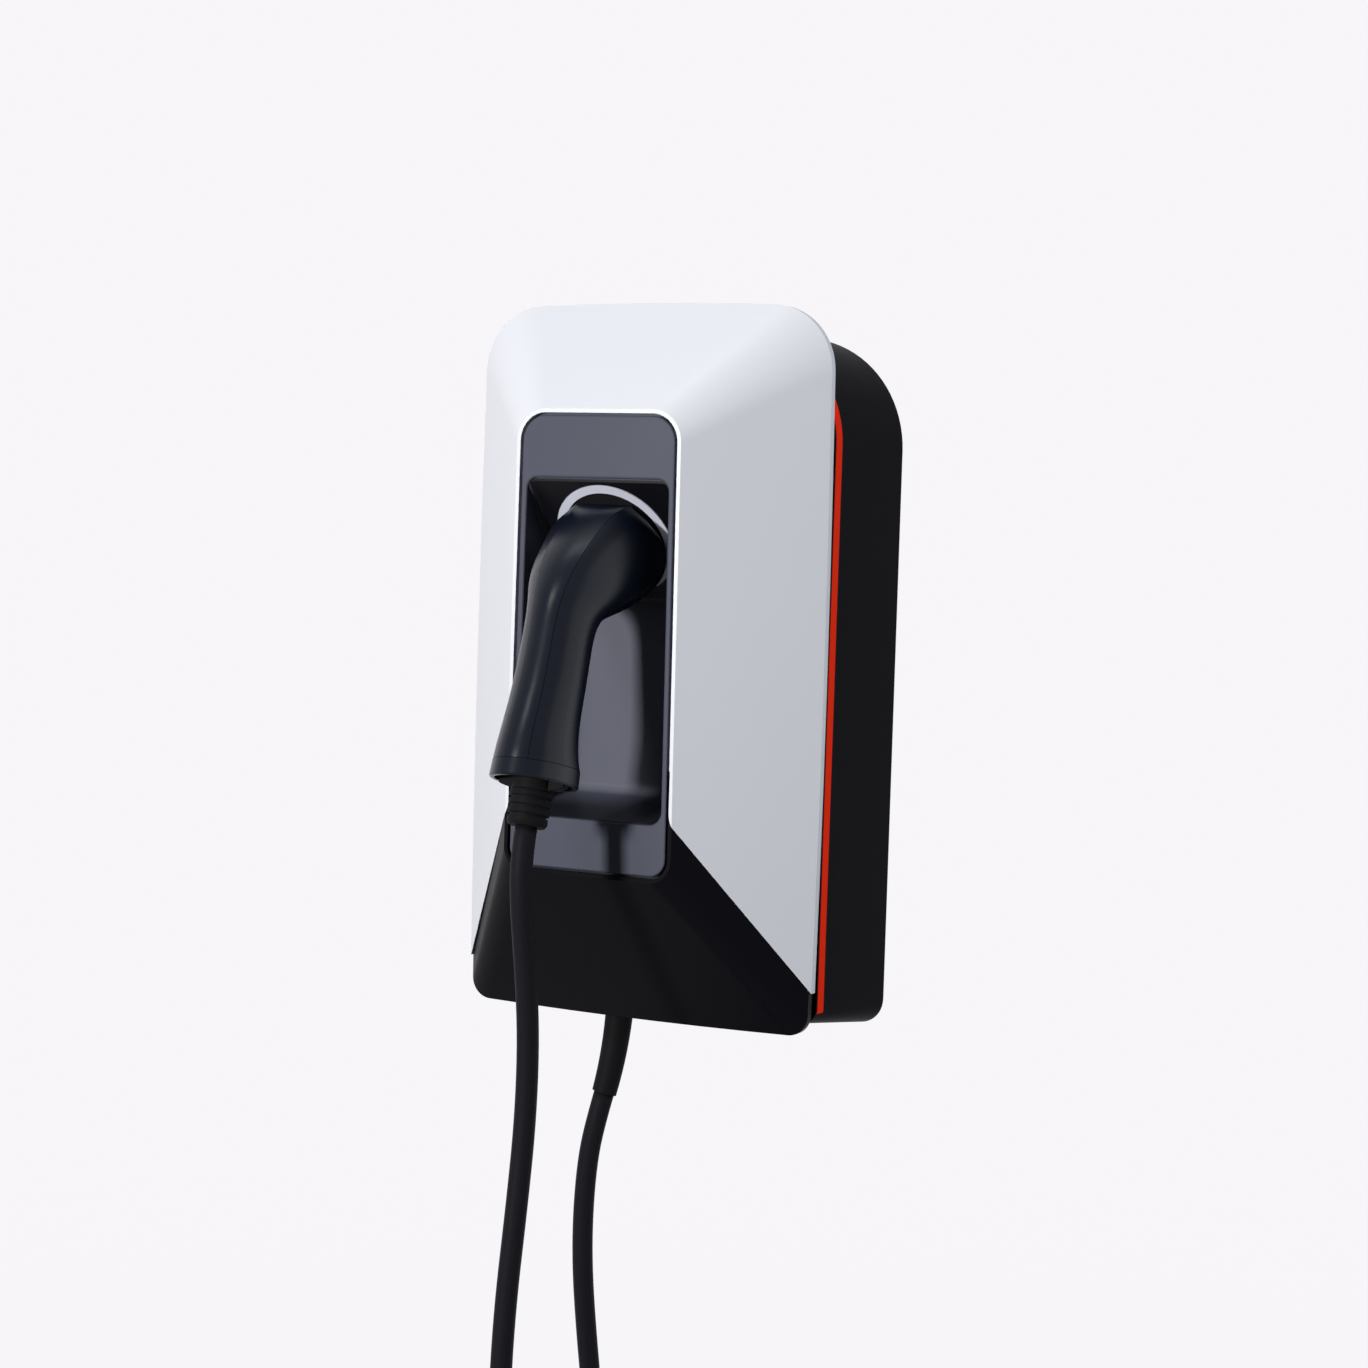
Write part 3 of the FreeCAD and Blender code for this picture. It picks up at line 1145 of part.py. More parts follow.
def route_path(points):
    """Straight runs joined by tangent arcs, each arc as large as its two runs allow."""
    edges, radii, start = [], [], points[0]
    for i in range(1, len(points) - 1):
        corner = points[i]
        before, after = points[i - 1] - corner, points[i + 1] - corner
        run = min(before.Length, after.Length)
        before.normalize()
        after.normalize()
        turn = math.pi - before.getAngle(after)
        reach = 0.45 * run
        radius = reach / math.tan(turn / 2)
        first, last = corner + before * reach, corner + after * reach
        inward = (before + after).normalize()
        middle = corner + inward * (radius / math.cos(turn / 2) - radius)
        edges.append(Part.LineSegment(start, first).toShape())
        edges.append(Part.Arc(first, middle, last).toShape())
        radii.append(radius)
        start = last
    edges.append(Part.LineSegment(start, points[-1]).toShape())
    return Part.Wire(edges), radii


def build_cord_tube(label, route):
    points = [at(*point) for point in route]
    path, radii = route_path(points)
    radius = size("cable_diameter") / 2
    section = circle_wire(points[0], (points[1] - points[0]).normalize(), radius)
    tube = path.makePipeShell([section], True, False)
    print(label, "length %.1f" % path.Length, "radii", [round(value) for value in radii],
          "volume share %.4f" % (tube.Volume / (math.pi * radius ** 2 * path.Length)))
    feature(label, tube)


def plug_route():
    """From the strain relief down to the front of the coil."""
    start = end_frame().multVec(FreeCAD.Vector(0, 0, size("clamp_outside") + size("relief_length")))
    step = end_frame().Rotation.multVec(FreeCAD.Vector(0, 0, 1)) * 16
    after = start + step
    return [(start.x, -start.y, start.z), (after.x, -after.y, after.z),
            (0.0, 235.0, -124.0), (0.0, 227.5, -163.0), (-0.5, 221.5, -203.0), (-1.5, 221.0, -249.0),
            (-3.0, 225.5, -297.0), (-5.5, 229.8, -346.0), (-6.6, 231.8, -394.0), (-4.6, 234.0, -446.0)]


def gland_route():
    """From the gland's sleeve down to the back of the coil."""
    point, direction = sleeve_line()[-1]
    after = point + direction * 16
    return [(point.x, -point.y, point.z), (after.x, -after.y, after.z),
            (-39.6, 83.4, -297.0), (-42.0, 83.4, -330.0), (-42.3, 82.0, -364.0), (-40.2, 79.0, -402.0),
            (-35.8, 76.2, -446.5)]


def tie_outline(across, up, bevel, depth):
    """Octagonal outline of a strap round the coil's section."""
    corners = [(-across, -up + bevel), (-across + bevel, -up), (across - bevel, -up), (across, -up + bevel),
               (across, up - bevel), (across - bevel, up), (-across + bevel, up), (-across, up - bevel)]
    return Part.makePolygon([at(x, depth, z) for x, z in corners + corners[:1]])


def build_coil():
    """The rest of the cable as one closed ring with bevelled edges, and its three straps."""
    inner = "Sizes.coil_radius - Sizes.coil_height / 2"
    outer = "Sizes.coil_radius + Sizes.coil_height / 2"
    side, shoulder = "Sizes.coil_width / 2", "(Sizes.coil_width / 2 - Sizes.coil_bevel)"
    coil = turned("cable_coil", [
        (inner + " + Sizes.coil_bevel", "-" + side), (outer + " - Sizes.coil_bevel", "-" + side),
        (outer, "-" + shoulder), (outer, shoulder),
        (outer + " - Sizes.coil_bevel", side), (inner + " + Sizes.coil_bevel", side),
        (inner, shoulder), (inner, "-" + shoulder)])
    coil.setExpression("Placement.Base.x", "Sizes.coil_x")
    coil.setExpression("Placement.Base.y", "-Sizes.coil_depth")
    coil.setExpression("Placement.Base.z", "-Sizes.coil_drop")
    coil.setExpression("Placement.Rotation.Angle", "90 deg")
    coil.setExpression("Placement.Rotation.Axis.y", "1")
    coil.setExpression("Placement.Rotation.Axis.z", "0")
    ties = []
    width, thickness = size("tie_width"), size("tie_thickness")
    sag = width ** 2 / (8 * (size("coil_radius") - size("coil_height") / 2))
    loose = size("seat_gap") / 2
    across, up = size("coil_width") / 2 + loose, size("coil_height") / 2 + sag + loose
    centre = at(size("coil_x"), size("coil_depth"), -size("coil_drop"))
    for angle in (90, 210, 330):
        inside = tie_outline(across, up, size("coil_bevel"), -width)
        outside = tie_outline(across + thickness, up + thickness, size("coil_bevel") + thickness / 2,
                              -width / 2)
        band = prism(outside, width).cut(prism(inside, 2 * width))
        band.translate(FreeCAD.Vector(0, 0, size("coil_radius")))
        band.rotate(FreeCAD.Vector(), FreeCAD.Vector(1, 0, 0), angle - 90)
        ties.append(band.translated(centre))
    feature("coil_ties", Part.makeCompound(ties))


build_covers()
build_console()
build_light_ring()
build_led_board()
build_dock_socket()
build_rear_housing()
build_accent_strips()
build_cover_seal()
build_wall_bracket()
build_main_board()
build_components()
build_reader_board()
build_board_screws()
build_gland()
build_sleeve()
build_handle()
build_handle_screws()
build_nose()
build_lower_end()
build_cord_tube("cable_plug_drop", plug_route())
build_cord_tube("cable_gland_drop", gland_route())
build_coil()
doc.recompute()

# Every sub-part is checked before any file is written

for item in doc.Objects:
    if "Invalid" in item.State or "Error" in item.State:
        raise ValueError("%s did not build: %s" % (item.Label, item.State))

sub_parts = [item for item in doc.Objects if item.TypeId in ("Part::Feature", "PartDesign::Body")]
for item in sub_parts:
    if item.Shape.isNull() or not item.Shape.isValid():
        raise ValueError("%s has no valid shape" % item.Label)

for item in sub_parts:
    item.Shape.exportStep("parts/%s.step" % item.Label)
    print("%-18s %2d solids %9.0f mm3" % (item.Label, len(item.Shape.Solids), item.Shape.Volume))
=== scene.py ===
# %% [markdown]
# # A wall-mounted vehicle charger
#
# The object is a charging station for an electric car.  A white, four-sided cover narrows towards a grey
# console, the black connector is parked in the console's pocket, and a thick cable runs from the
# connector down to a coil and back up to the housing.  The hard parts come from the CAD model and keep
# their shape.  This notebook adds what makes them look real: finishes, the cable, its straps and a studio.
#
# Lengths are in metres.  The wall is the plane y = 0, so a point in front of it has a negative y, and z
# points up.

# %% Load the CAD model
import json
import math

import bpy
import numpy as np
from mathutils import Matrix, Vector


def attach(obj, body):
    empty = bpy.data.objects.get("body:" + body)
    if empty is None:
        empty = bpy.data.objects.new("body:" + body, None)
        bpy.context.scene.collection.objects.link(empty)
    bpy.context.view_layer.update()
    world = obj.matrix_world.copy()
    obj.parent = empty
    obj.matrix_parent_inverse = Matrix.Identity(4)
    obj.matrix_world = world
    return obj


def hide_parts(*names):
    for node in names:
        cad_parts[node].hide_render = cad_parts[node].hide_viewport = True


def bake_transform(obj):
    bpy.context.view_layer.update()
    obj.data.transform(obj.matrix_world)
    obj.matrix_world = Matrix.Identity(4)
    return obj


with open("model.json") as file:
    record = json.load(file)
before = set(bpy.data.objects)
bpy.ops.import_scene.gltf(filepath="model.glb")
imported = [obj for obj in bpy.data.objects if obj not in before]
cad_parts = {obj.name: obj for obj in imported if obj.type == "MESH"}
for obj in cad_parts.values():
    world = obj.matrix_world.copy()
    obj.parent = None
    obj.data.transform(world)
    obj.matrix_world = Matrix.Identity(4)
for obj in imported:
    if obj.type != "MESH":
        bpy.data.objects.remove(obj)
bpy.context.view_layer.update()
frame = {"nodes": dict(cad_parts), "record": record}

# %% [markdown]
# ## Camera
#
# The camera stands to the right of the charger and a little above its middle, so it sees the front and
# the right flank.  A long lens keeps the upright edges nearly parallel.  The three angles turn the view
# to the side, tip it down and roll it slightly.  Blender could aim the camera with a Track To constraint,
# but a constraint can't roll it, so the matrix is put together here from the view's own three axes.

# %% Camera
IMAGE_SIZE = 1368
FOCAL_PIXELS = 2858.0
SENSOR_WIDTH = 36.0
YAW, PITCH, ROLL = (math.radians(angle) for angle in (28.05, 3.25, -1.78))
CAMERA_PLACE = (0.7994, -1.5546, 0.0836)
FARTHEST_SEEN = 50.0

ahead = np.array((-math.sin(YAW) * math.cos(PITCH), math.cos(YAW) * math.cos(PITCH), -math.sin(PITCH)))
level = np.array((math.cos(YAW), math.sin(YAW), 0.0))
upright = np.cross(level, ahead)
right = math.cos(ROLL) * level - math.sin(ROLL) * upright
up = math.sin(ROLL) * level + math.cos(ROLL) * upright

camera_data = bpy.data.cameras.new("camera")
camera_data.sensor_width = SENSOR_WIDTH
camera_data.lens = FOCAL_PIXELS / IMAGE_SIZE * SENSOR_WIDTH
camera_data.clip_end = FARTHEST_SEEN
camera = bpy.data.objects.new("camera", camera_data)
camera.matrix_world = Matrix([(*row, place) for row, place in
                              zip(np.stack((right, up, -ahead), axis=1), CAMERA_PLACE)] + [(0, 0, 0, 1)])
bpy.context.scene.collection.objects.link(camera)
bpy.context.scene.camera = camera
print("lens: %.1f mm" % camera_data.lens)

# %% [markdown]
# ## Shader maths as plain expressions
#
# A finish is a small formula: a base colour, a little grain, a roughness that wanders.  Its nodes could be
# added one by one, but the formula is then hard to see.  So a `Field` wraps one socket and turns Python's
# operators into Math nodes, and a `Finish` builds one material.  Plain numbers stay plain numbers.


# %% Fields and finishes
class Field:
    """One value that may vary over a surface; operators on it add Math nodes."""

    def __init__(self, finish, socket):
        self.finish, self.socket = finish, socket

    def __add__(self, other):
        return self.finish.maths("ADD", self, other)

    def __sub__(self, other):
        return self.finish.maths("SUBTRACT", self, other)

    def __rsub__(self, other):
        return self.finish.maths("SUBTRACT", other, self)

    def __mul__(self, other):
        return self.finish.maths("MULTIPLY", self, other)

    __radd__ = __add__
    __rmul__ = __mul__


class Finish:
    """One material, with helpers for its nodes."""

    def __init__(self, name):
        self.material = bpy.data.materials.new(name)
        self.material.use_nodes = True
        self.tree = self.material.node_tree
        self.tree.nodes.clear()
        self.place = self.node("ShaderNodeTexCoord", {}, {}, "Object")

    def node(self, kind, settings, inputs, output=0):
        """Add a node: first its settings, then values or links for its sockets, then one output."""
        made = self.tree.nodes.new(kind)
        for key, value in settings.items():
            setattr(made, key, value)
        for key, value in inputs.items():
            if isinstance(value, Field):
                self.tree.links.new(value.socket, made.inputs[key])
            else:
                made.inputs[key].default_value = value
        return Field(self, made.outputs[output])

    def maths(self, operation, *terms):
        return self.node("ShaderNodeMath", {"operation": operation}, dict(enumerate(terms)))

    def axis(self, letter):
        """X, Y or Z of the point that is being shaded."""
        return self.node("ShaderNodeSeparateXYZ", {}, {"Vector": self.place}, letter)

    def noise(self, scale, detail=2.0, roughness=0.5, place=None):
        """Smooth random field from 0 to 1."""
        return self.node("ShaderNodeTexNoise", {}, {
            "Vector": place or self.place, "Scale": scale, "Detail": detail, "Roughness": roughness}, "Fac")

    def cells(self, scale):
        """Distance to the nearest of many scattered points."""
        return self.node("ShaderNodeTexVoronoi", {}, {"Vector": self.place, "Scale": scale}, "Distance")

    def ramp(self, field, low, high):
        """0 below low, 1 above high and smooth between them."""
        return self.node("ShaderNodeMapRange", {"interpolation_type": "SMOOTHSTEP"},
                         {"Value": field, "From Min": low, "From Max": high})

    def blend(self, share, first, second):
        """Mix of two colours."""
        return self.node("ShaderNodeMix", {"data_type": "RGBA"}, {0: share, 6: first, 7: second}, 2)

    def bump(self, height, distance):
        """Normal of a surface that rises by distance where height grows by one."""
        return self.node("ShaderNodeBump", {}, {"Height": height, "Distance": distance, "Strength": 1.0},
                         "Normal")

    def surface(self, colour, roughness, **sockets):
        """Finish the material with a Principled shader and return it."""
        inputs = {"Base Color": colour, "Roughness": roughness}
        inputs.update({key.replace("_", " "): value for key, value in sockets.items()})
        self.output(self.node("ShaderNodeBsdfPrincipled", {}, inputs, "BSDF"))
        return self.material

    def output(self, shader, kind="ShaderNodeOutputMaterial"):
        end = self.tree.nodes.new(kind)
        self.tree.links.new(shader.socket, end.inputs["Surface"])


def rgb(red, green, blue):
    """A linear colour with full alpha."""
    return (red, green, blue, 1.0)


finishes = {}
print("a Field understands + - *, with a Field or a number on either side")

# %% [markdown]
# ## Moulded plastic
#
# Nearly every visible part is injection moulded.  Its mould is spark eroded, which leaves a fine, even
# grain: close up it is a field of tiny bumps, from afar only a soft sheen.  The grain could be modelled
# or painted, but a bump worked out from the place of each point has no seams and costs no faces.  One
# function makes all these plastics from a colour, a gloss and a grain size, and lets the gloss wander
# very slightly, as a hand-wiped surface does.


# %% Plastics
def eroded_grain(finish, pits_per_m, haze_per_m):
    """Spark-eroded skin: 0.6 of the distance to scattered pits and 0.4 of a fine haze."""
    return finish.cells(pits_per_m) * 0.6 + finish.noise(haze_per_m, detail=1.0) * 0.4


def clouds(finish):
    """Slow drift of the colour, over several centimetres."""
    return finish.noise(14.0, detail=3.0)


def wiped(finish, gloss, swing=0.08):
    """Roughness around gloss that wanders over swing in all."""
    return finish.noise(40.0, detail=4.0) * swing + (gloss - swing / 2.0)


def moulded(name, colour, gloss, grain_per_m=2600.0, grain_depth=0.00004, mottle=0.06, **sockets):
    """Moulded plastic: base colour times a faint mottle, grain as bump, roughness that wanders."""
    finish = Finish(name)
    grain = eroded_grain(finish, grain_per_m, grain_per_m * 0.8)
    pale = tuple(min(channel * (1.0 + mottle), 1.0) for channel in colour)
    deep = tuple(channel * (1.0 - mottle) for channel in colour)
    shade = finish.blend(clouds(finish), rgb(*deep), rgb(*pale))
    return finish.surface(shade, wiped(finish, gloss), Normal=finish.bump(grain, grain_depth), **sockets)


MATT = {"Specular_IOR_Level": 0.03}
DULL = {"Specular_IOR_Level": 0.006}
# The red strip's emission is a painted glow: the strip is no lamp, and the glow brightens it in place of
# light.
PAINTED_GLOW = {"Emission_Color": rgb(1.0, 0.030, 0.002), "Emission_Strength": 0.12, "Specular_IOR_Level": 0.01}

# Each row: name, colour, gloss, pits per metre, their depth in metres, mottle, and other sockets.
PLASTICS = {
    "cover_white": moulded("cover_white", (0.785, 0.795, 0.845), 0.36, 3200.0, 0.00001, 0.01),
    "cover_black": moulded("cover_black", (0.004, 0.004, 0.006), 0.34, 2400.0, 0.00003, **MATT),
    "housing_black": moulded("housing_black", (0.004, 0.004, 0.006), 0.36, 2400.0, 0.00002, **DULL),
    "socket_black": moulded("socket_black", (0.012, 0.012, 0.013), 0.50, 2000.0, 0.00004, **MATT),
    "ring_white": moulded("ring_white", (0.66, 0.67, 0.77), 0.30, 3000.0, 0.00001, 0.01),
    # The accent strip carries a painted glow besides its red.
    "accent_red": moulded("accent_red", (0.97, 0.028, 0.003), 0.40, 3000.0, 0.00002, 0.03, **PAINTED_GLOW),
    "component_dark": moulded("component_dark", (0.040, 0.040, 0.045), 0.5),
    "component_grey": moulded("component_grey", (0.33, 0.34, 0.34), 0.5),
    "sleeve_rubber": moulded("sleeve_rubber", (0.010, 0.010, 0.011), 0.56, 1800.0, 0.00004, **MATT),
    "seal_rubber": moulded("seal_rubber", (0.015, 0.015, 0.015), 0.6, 1800.0, 0.00004),
}
finishes.update(PLASTICS)
print("plastics:", ", ".join(PLASTICS))

# %% [markdown]
# ## The console's plastic
#
# The console is one moulding, charcoal with a coarse grain.  Its colour also carries painted shade and
# painted light in the pocket: the slanted dock face is painted black as shade, the floor behind the grip
# carries painted light as a lighter tone, and the sill at the lower end is painted nearly black as shade.
# These zones could be cut apart as pieces of their own.  Here one material reads where each point lies
# instead, so the CAD mesh stays whole: smooth ramps along y and z pick out the floor and the sill, and the
# distance from the dock's plane picks out its face.

# %% Console
# The pairs are where a ramp starts and ends, in metres: from the dock's plane, along y, or along z.
DOCK_DEPTH, DOCK_HEIGHT, DOCK_TILT = 0.142, 0.0726, math.radians(35.0)
DOCK_FADE = (0.0006, 0.0012)
POCKET_MOUTH = (-0.1650, -0.1645)
FLOOR_Y, FLOOR_Z_TOP = (-0.1260, -0.1190), (0.030, 0.040)
SILL_Y, SILL_Z_TOP, SILL_SHADE_SHARE = (-0.1500, -0.1190), (-0.0740, -0.0680), 0.85
# The black is painted shade for the dock face and the sill; the grey is painted light on the pocket's floor.
PAINTED_SHADE_BLACK, PAINTED_LIGHT_GREY = rgb(0.004, 0.004, 0.006), rgb(0.115, 0.119, 0.152)
CHARCOAL = rgb(0.075, 0.080, 0.109), rgb(0.085, 0.090, 0.122)


def console_plastic(name):
    """Charcoal plastic, coarse grain, painted shade on dock face and sill, painted light on pocket floor.

    The dock face is the plane through DOCK_DEPTH and DOCK_HEIGHT that leans forward by DOCK_TILT, so a
    point's distance from it is depth * cos(tilt) - height * sin(tilt), less the same sum for the plane's
    own point.  The depth is -y.
    """
    finish = Finish(name)
    y, z = finish.axis("Y"), finish.axis("Z")
    cosine, sine = math.cos(DOCK_TILT), math.sin(DOCK_TILT)
    from_dock = y * -cosine - z * sine - (DOCK_DEPTH * cosine - DOCK_HEIGHT * sine)
    in_pocket = finish.ramp(y, *POCKET_MOUTH)
    # Painted shade: this mask paints the dock face black, whatever the lamps do.
    dock_shade = (1.0 - finish.ramp(finish.maths("ABSOLUTE", from_dock), *DOCK_FADE)) * in_pocket
    # Painted light: this mask paints the pocket's floor lighter.
    pocket_floor_light = finish.ramp(y, *FLOOR_Y) * (1.0 - finish.ramp(z, *FLOOR_Z_TOP))
    # Painted shade: this mask paints the sill at the pocket's lower end nearly black.
    sill = (1.0 - finish.ramp(z, *SILL_Z_TOP)) * (1.0 - finish.ramp(y, *SILL_Y))
    dark = finish.maths("MAXIMUM", dock_shade, sill * in_pocket * SILL_SHADE_SHARE)
    body = finish.blend(pocket_floor_light, finish.blend(clouds(finish), *CHARCOAL), PAINTED_LIGHT_GREY)
    grain = eroded_grain(finish, 1200.0, 1000.0)
    return finish.surface(finish.blend(dark, body, PAINTED_SHADE_BLACK), wiped(finish, 0.38),
                          Normal=finish.bump(grain, 0.00002), Specular_IOR_Level=0.09)


finishes["panel_grey"] = console_plastic("panel_grey")
print("console: dock face tilted by %.0f degrees" % math.degrees(DOCK_TILT))

# %% [markdown]
# ## The connector's plastic
#
# The connector is polished blue-black plastic, and its grip catches one long, soft highlight.  On a flat
# front the highlight would be all or nothing, but a real moulding is slightly crowned.  The crown is far
# too low to be seen in the outline, so it is a bump: a parabola across the grip.  Its middle line leans a
# little sideways up to the neck, so that the highlight leans too.

# %% Grip
CROWN, CROWN_MIDDLE, CROWN_SLANT, NECK_Z = 18.0, 0.0004, 0.176, 0.02
GRIP_BLACK = rgb(0.0020, 0.0040, 0.0100), rgb(0.0028, 0.0050, 0.0120)


def grip_plastic(name):
    """Polished plastic whose height is -CROWN / 2 * (x - middle) ** 2 plus a fine grain."""
    finish = Finish(name)
    below_neck = finish.maths("MINIMUM", finish.axis("Z"), NECK_Z)
    across = finish.axis("X") - below_neck * CROWN_SLANT - CROWN_MIDDLE
    height = across * across * (-CROWN / 2.0) + finish.noise(2200.0, detail=1.0) * 0.00001
    return finish.surface(finish.blend(clouds(finish), *GRIP_BLACK), wiped(finish, 0.28, 0.06),
                          Normal=finish.bump(height, 1.0), Specular_IOR_Level=0.16)


finishes["handle_black"] = grip_plastic("handle_black")
print("grip: crowned with a radius of %.0f mm" % (1000.0 / CROWN))

# %% [markdown]
# ## Metals and boards
#
# The bracket is powder coated steel, which has a gentle orange-peel surface.  Screws are zinc plated:
# bright, brushed by handling.  The contacts are silver plated brass, and a circuit board is a green
# solder mask over glass fibre, whose weave shows through very faintly.  Each could borrow the plastics'
# function with other numbers, but streaks, ripples and weave are different patterns, so each has its own.


# %% Metals and boards
def metal(name, colour, roughness, scratch=0.10):
    """Plated metal whose roughness carries fine streaks."""
    finish = Finish(name)
    streaks = finish.noise(900.0, detail=4.0, roughness=0.7)
    return finish.surface(rgb(*colour), streaks * scratch + roughness, Metallic=1.0,
                          Normal=finish.bump(streaks, 0.00002))


def powder_coat(name, colour):
    """Matt paint with the low, rounded ripples of powder that has flowed."""
    finish = Finish(name)
    ripples = finish.noise(600.0, detail=2.0, roughness=0.4)
    return finish.surface(rgb(*colour), ripples * 0.1 + 0.45, Normal=finish.bump(ripples, 0.00005))


def solder_mask(name):
    """Green lacquer over a plain weave: two crossed sets of waves."""
    finish = Finish(name)
    waves = [finish.node("ShaderNodeTexWave", {"bands_direction": axis}, {
        "Vector": finish.place, "Scale": 450.0, "Distortion": 0.3}, "Fac") for axis in ("X", "Z")]
    weave = waves[0] * waves[1]
    colour = finish.blend(weave, rgb(0.010, 0.085, 0.035), rgb(0.018, 0.12, 0.05))
    return finish.surface(colour, weave * 0.1 + 0.3, Normal=finish.bump(weave, 0.00002))


HARDWARE = {
    "bracket_metal": powder_coat("bracket_metal", (0.42, 0.43, 0.45)),
    "screw_steel": metal("screw_steel", (0.62, 0.62, 0.60), 0.30),
    "contact_metal": metal("contact_metal", (0.78, 0.75, 0.70), 0.22),
    "board_green": solder_mask("board_green"),
}
finishes.update(HARDWARE)
print("metals and boards:", ", ".join(HARDWARE))

# %% [markdown]
# ## Cable jacket and straps
#
# The jacket is soft black rubber with a satin skin.  Drawing it through a die leaves faint streaks along
# it.  A pattern on Object coordinates would run straight through the bends, so this one follows the
# tube's own UV map, which holds turns round the cable and metres along it.  The straps are woven
# hook-and-loop tape: fine ribs one way, broken up by the nap.


# %% Jacket and tape
def along_map(finish):
    """The piece's own UV map."""
    return finish.node("ShaderNodeUVMap", {"uv_map": "along"}, {}, "UV")


def jacket(name):
    """Rubber jacket: streaks that are long along the cable and narrow around it."""
    finish = Finish(name)
    stretched = finish.node("ShaderNodeMapping", {}, {
        "Vector": along_map(finish), "Scale": (30.0, 14.0, 1.0)}, "Vector")
    streaks = finish.noise(6.0, detail=3.0, roughness=0.6, place=stretched)
    grain = finish.noise(2200.0)
    colour = finish.blend(streaks, rgb(0.008, 0.008, 0.010), rgb(0.017, 0.016, 0.020))
    height = streaks * 0.7 + grain * 0.3
    return finish.surface(colour, streaks * 0.12 + 0.42, Normal=finish.bump(height, 0.00006), **MATT)


def tape(name):
    """Woven tape: ribs across its length, roughened by nap."""
    finish = Finish(name)
    ribs = finish.node("ShaderNodeTexWave", {"bands_direction": "X"}, {
        "Vector": along_map(finish), "Scale": 320.0, "Distortion": 0.6, "Detail": 1.0}, "Fac")
    nap = finish.noise(1600.0, detail=3.0, roughness=0.7)
    colour = finish.blend(ribs * nap, rgb(0.008, 0.008, 0.009), rgb(0.035, 0.035, 0.038))
    return finish.surface(colour, 0.85, Normal=finish.bump(ribs * 0.5 + nap * 0.5, 0.00025), Sheen_Weight=0.3)


finishes["cable_rubber"] = jacket("cable_rubber")
finishes["tie_fabric"] = tape("tie_fabric")
print("finishes in all:", len(finishes))

# %% [markdown]
# ## Dress the CAD parts
#
# Every CAD part keeps its mesh and only needs a material.  They could be named one by one, but the packed
# record already says which finish each part has, so one loop hands them out.

# %% Finishes for the CAD parts
for part in frame["record"]["subparts"]:
    node = frame["nodes"][part["node"]]
    if not node.material_slots:
        node.data.materials.append(None)
    for slot in node.material_slots:
        slot.material = finishes[part["material_slot"]]

# %% [markdown]
# ## Grids of points
#
# Every new piece is a sheet of points worked out with numpy and closed where it meets itself.  `woven`
# turns an array of rows and columns into a mesh, and `tube_mesh` carries a circle along a path.  A curve
# object with a bevel gives a tube too, but not a UV map in metres, which the jacket's streaks need.

# %% Mesh helpers
TUBE_SIDES = 20
SIDEWAYS = (1.0, 0.0, 0.0)


def woven(name, points, close_columns=False, uv=None, cap=False):
    """Mesh from a grid of points (rows, columns, 3): one quad between each four neighbours."""
    rows, columns = points.shape[:2]
    row = np.arange(rows - 1)[:, None]
    column = np.arange(columns if close_columns else columns - 1)[None, :]
    next_row, next_column = row + 1, (column + 1) % columns
    quads = np.stack([row * columns + column, row * columns + next_column,
                      next_row * columns + next_column, next_row * columns + column], axis=-1)
    faces = quads.reshape(-1, 4).tolist()
    if cap:
        faces += [list(range(columns))[::-1], list(range((rows - 1) * columns, rows * columns))]
    mesh = bpy.data.meshes.new(name)
    mesh.from_pydata(points.reshape(-1, 3).tolist(), [], faces)
    if uv is not None:
        layer = mesh.uv_layers.new(name="along")
        loops = np.empty(len(mesh.loops), dtype=np.int64)
        mesh.loops.foreach_get("vertex_index", loops)
        layer.data.foreach_set("uv", uv.reshape(-1, 2)[loops].astype(np.float32).ravel())
    mesh.shade_smooth()
    mesh.update()
    return mesh


def piece(name, mesh, body, slot):
    """Object for a mesh, riding on a body and finished from one of the record's slots."""
    made = bpy.data.objects.new(name, mesh)
    bpy.context.scene.collection.objects.link(made)
    made.data.materials.append(finishes[slot])
    if body:
        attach(made, body)
    return made


def distances(line):
    """Metres from a line's start to each of its points."""
    steps = np.linalg.norm(np.diff(line, axis=0), axis=1)
    return np.concatenate([[0.0], np.cumsum(steps)])


def ring_frames(path):
    """Two unit vectors across a path: its direction crossed with SIDEWAYS, and the direction with that."""
    along = np.gradient(path, axis=0)
    along /= np.linalg.norm(along, axis=1, keepdims=True)
    first = np.cross(along, np.asarray(SIDEWAYS))
    first /= np.linalg.norm(first, axis=1, keepdims=True)
    return first, np.cross(along, first)


def tube_mesh(name, path, radius):
    """Round tube: path + radius * (first * cos(turn) + second * sin(turn)), closed at both ends."""
    first, second = ring_frames(path)
    turn = np.linspace(0.0, 2.0 * math.pi, TUBE_SIDES, endpoint=False)
    ring = first[:, None] * np.cos(turn)[None, :, None] + second[:, None] * np.sin(turn)[None, :, None]
    track = np.stack(np.broadcast_arrays(turn[None, :] / (2.0 * math.pi), distances(path)[:, None]), axis=-1)
    return woven(name, path[:, None] + ring * radius, close_columns=True, uv=track, cap=True)


print("a tube has %d sides" % TUBE_SIDES)

# %% [markdown]
# ## The cable's line
#
# Five metres of cable, 12.3 mm thick, hang in two drops and a coil.  One drop leaves the sleeve in the
# housing's base, the rest is wound into ten passes below, and the other drop climbs to the connector.
# Arcs joined end to end would show a kink in the light at each joint.  The line is a NURBS spline
# instead, which bends as smoothly as a thick cable does.  The coil's turns fill cells two, three, three
# and two deep, a diameter apart, and each turn slips over to the next cell behind the top strap.

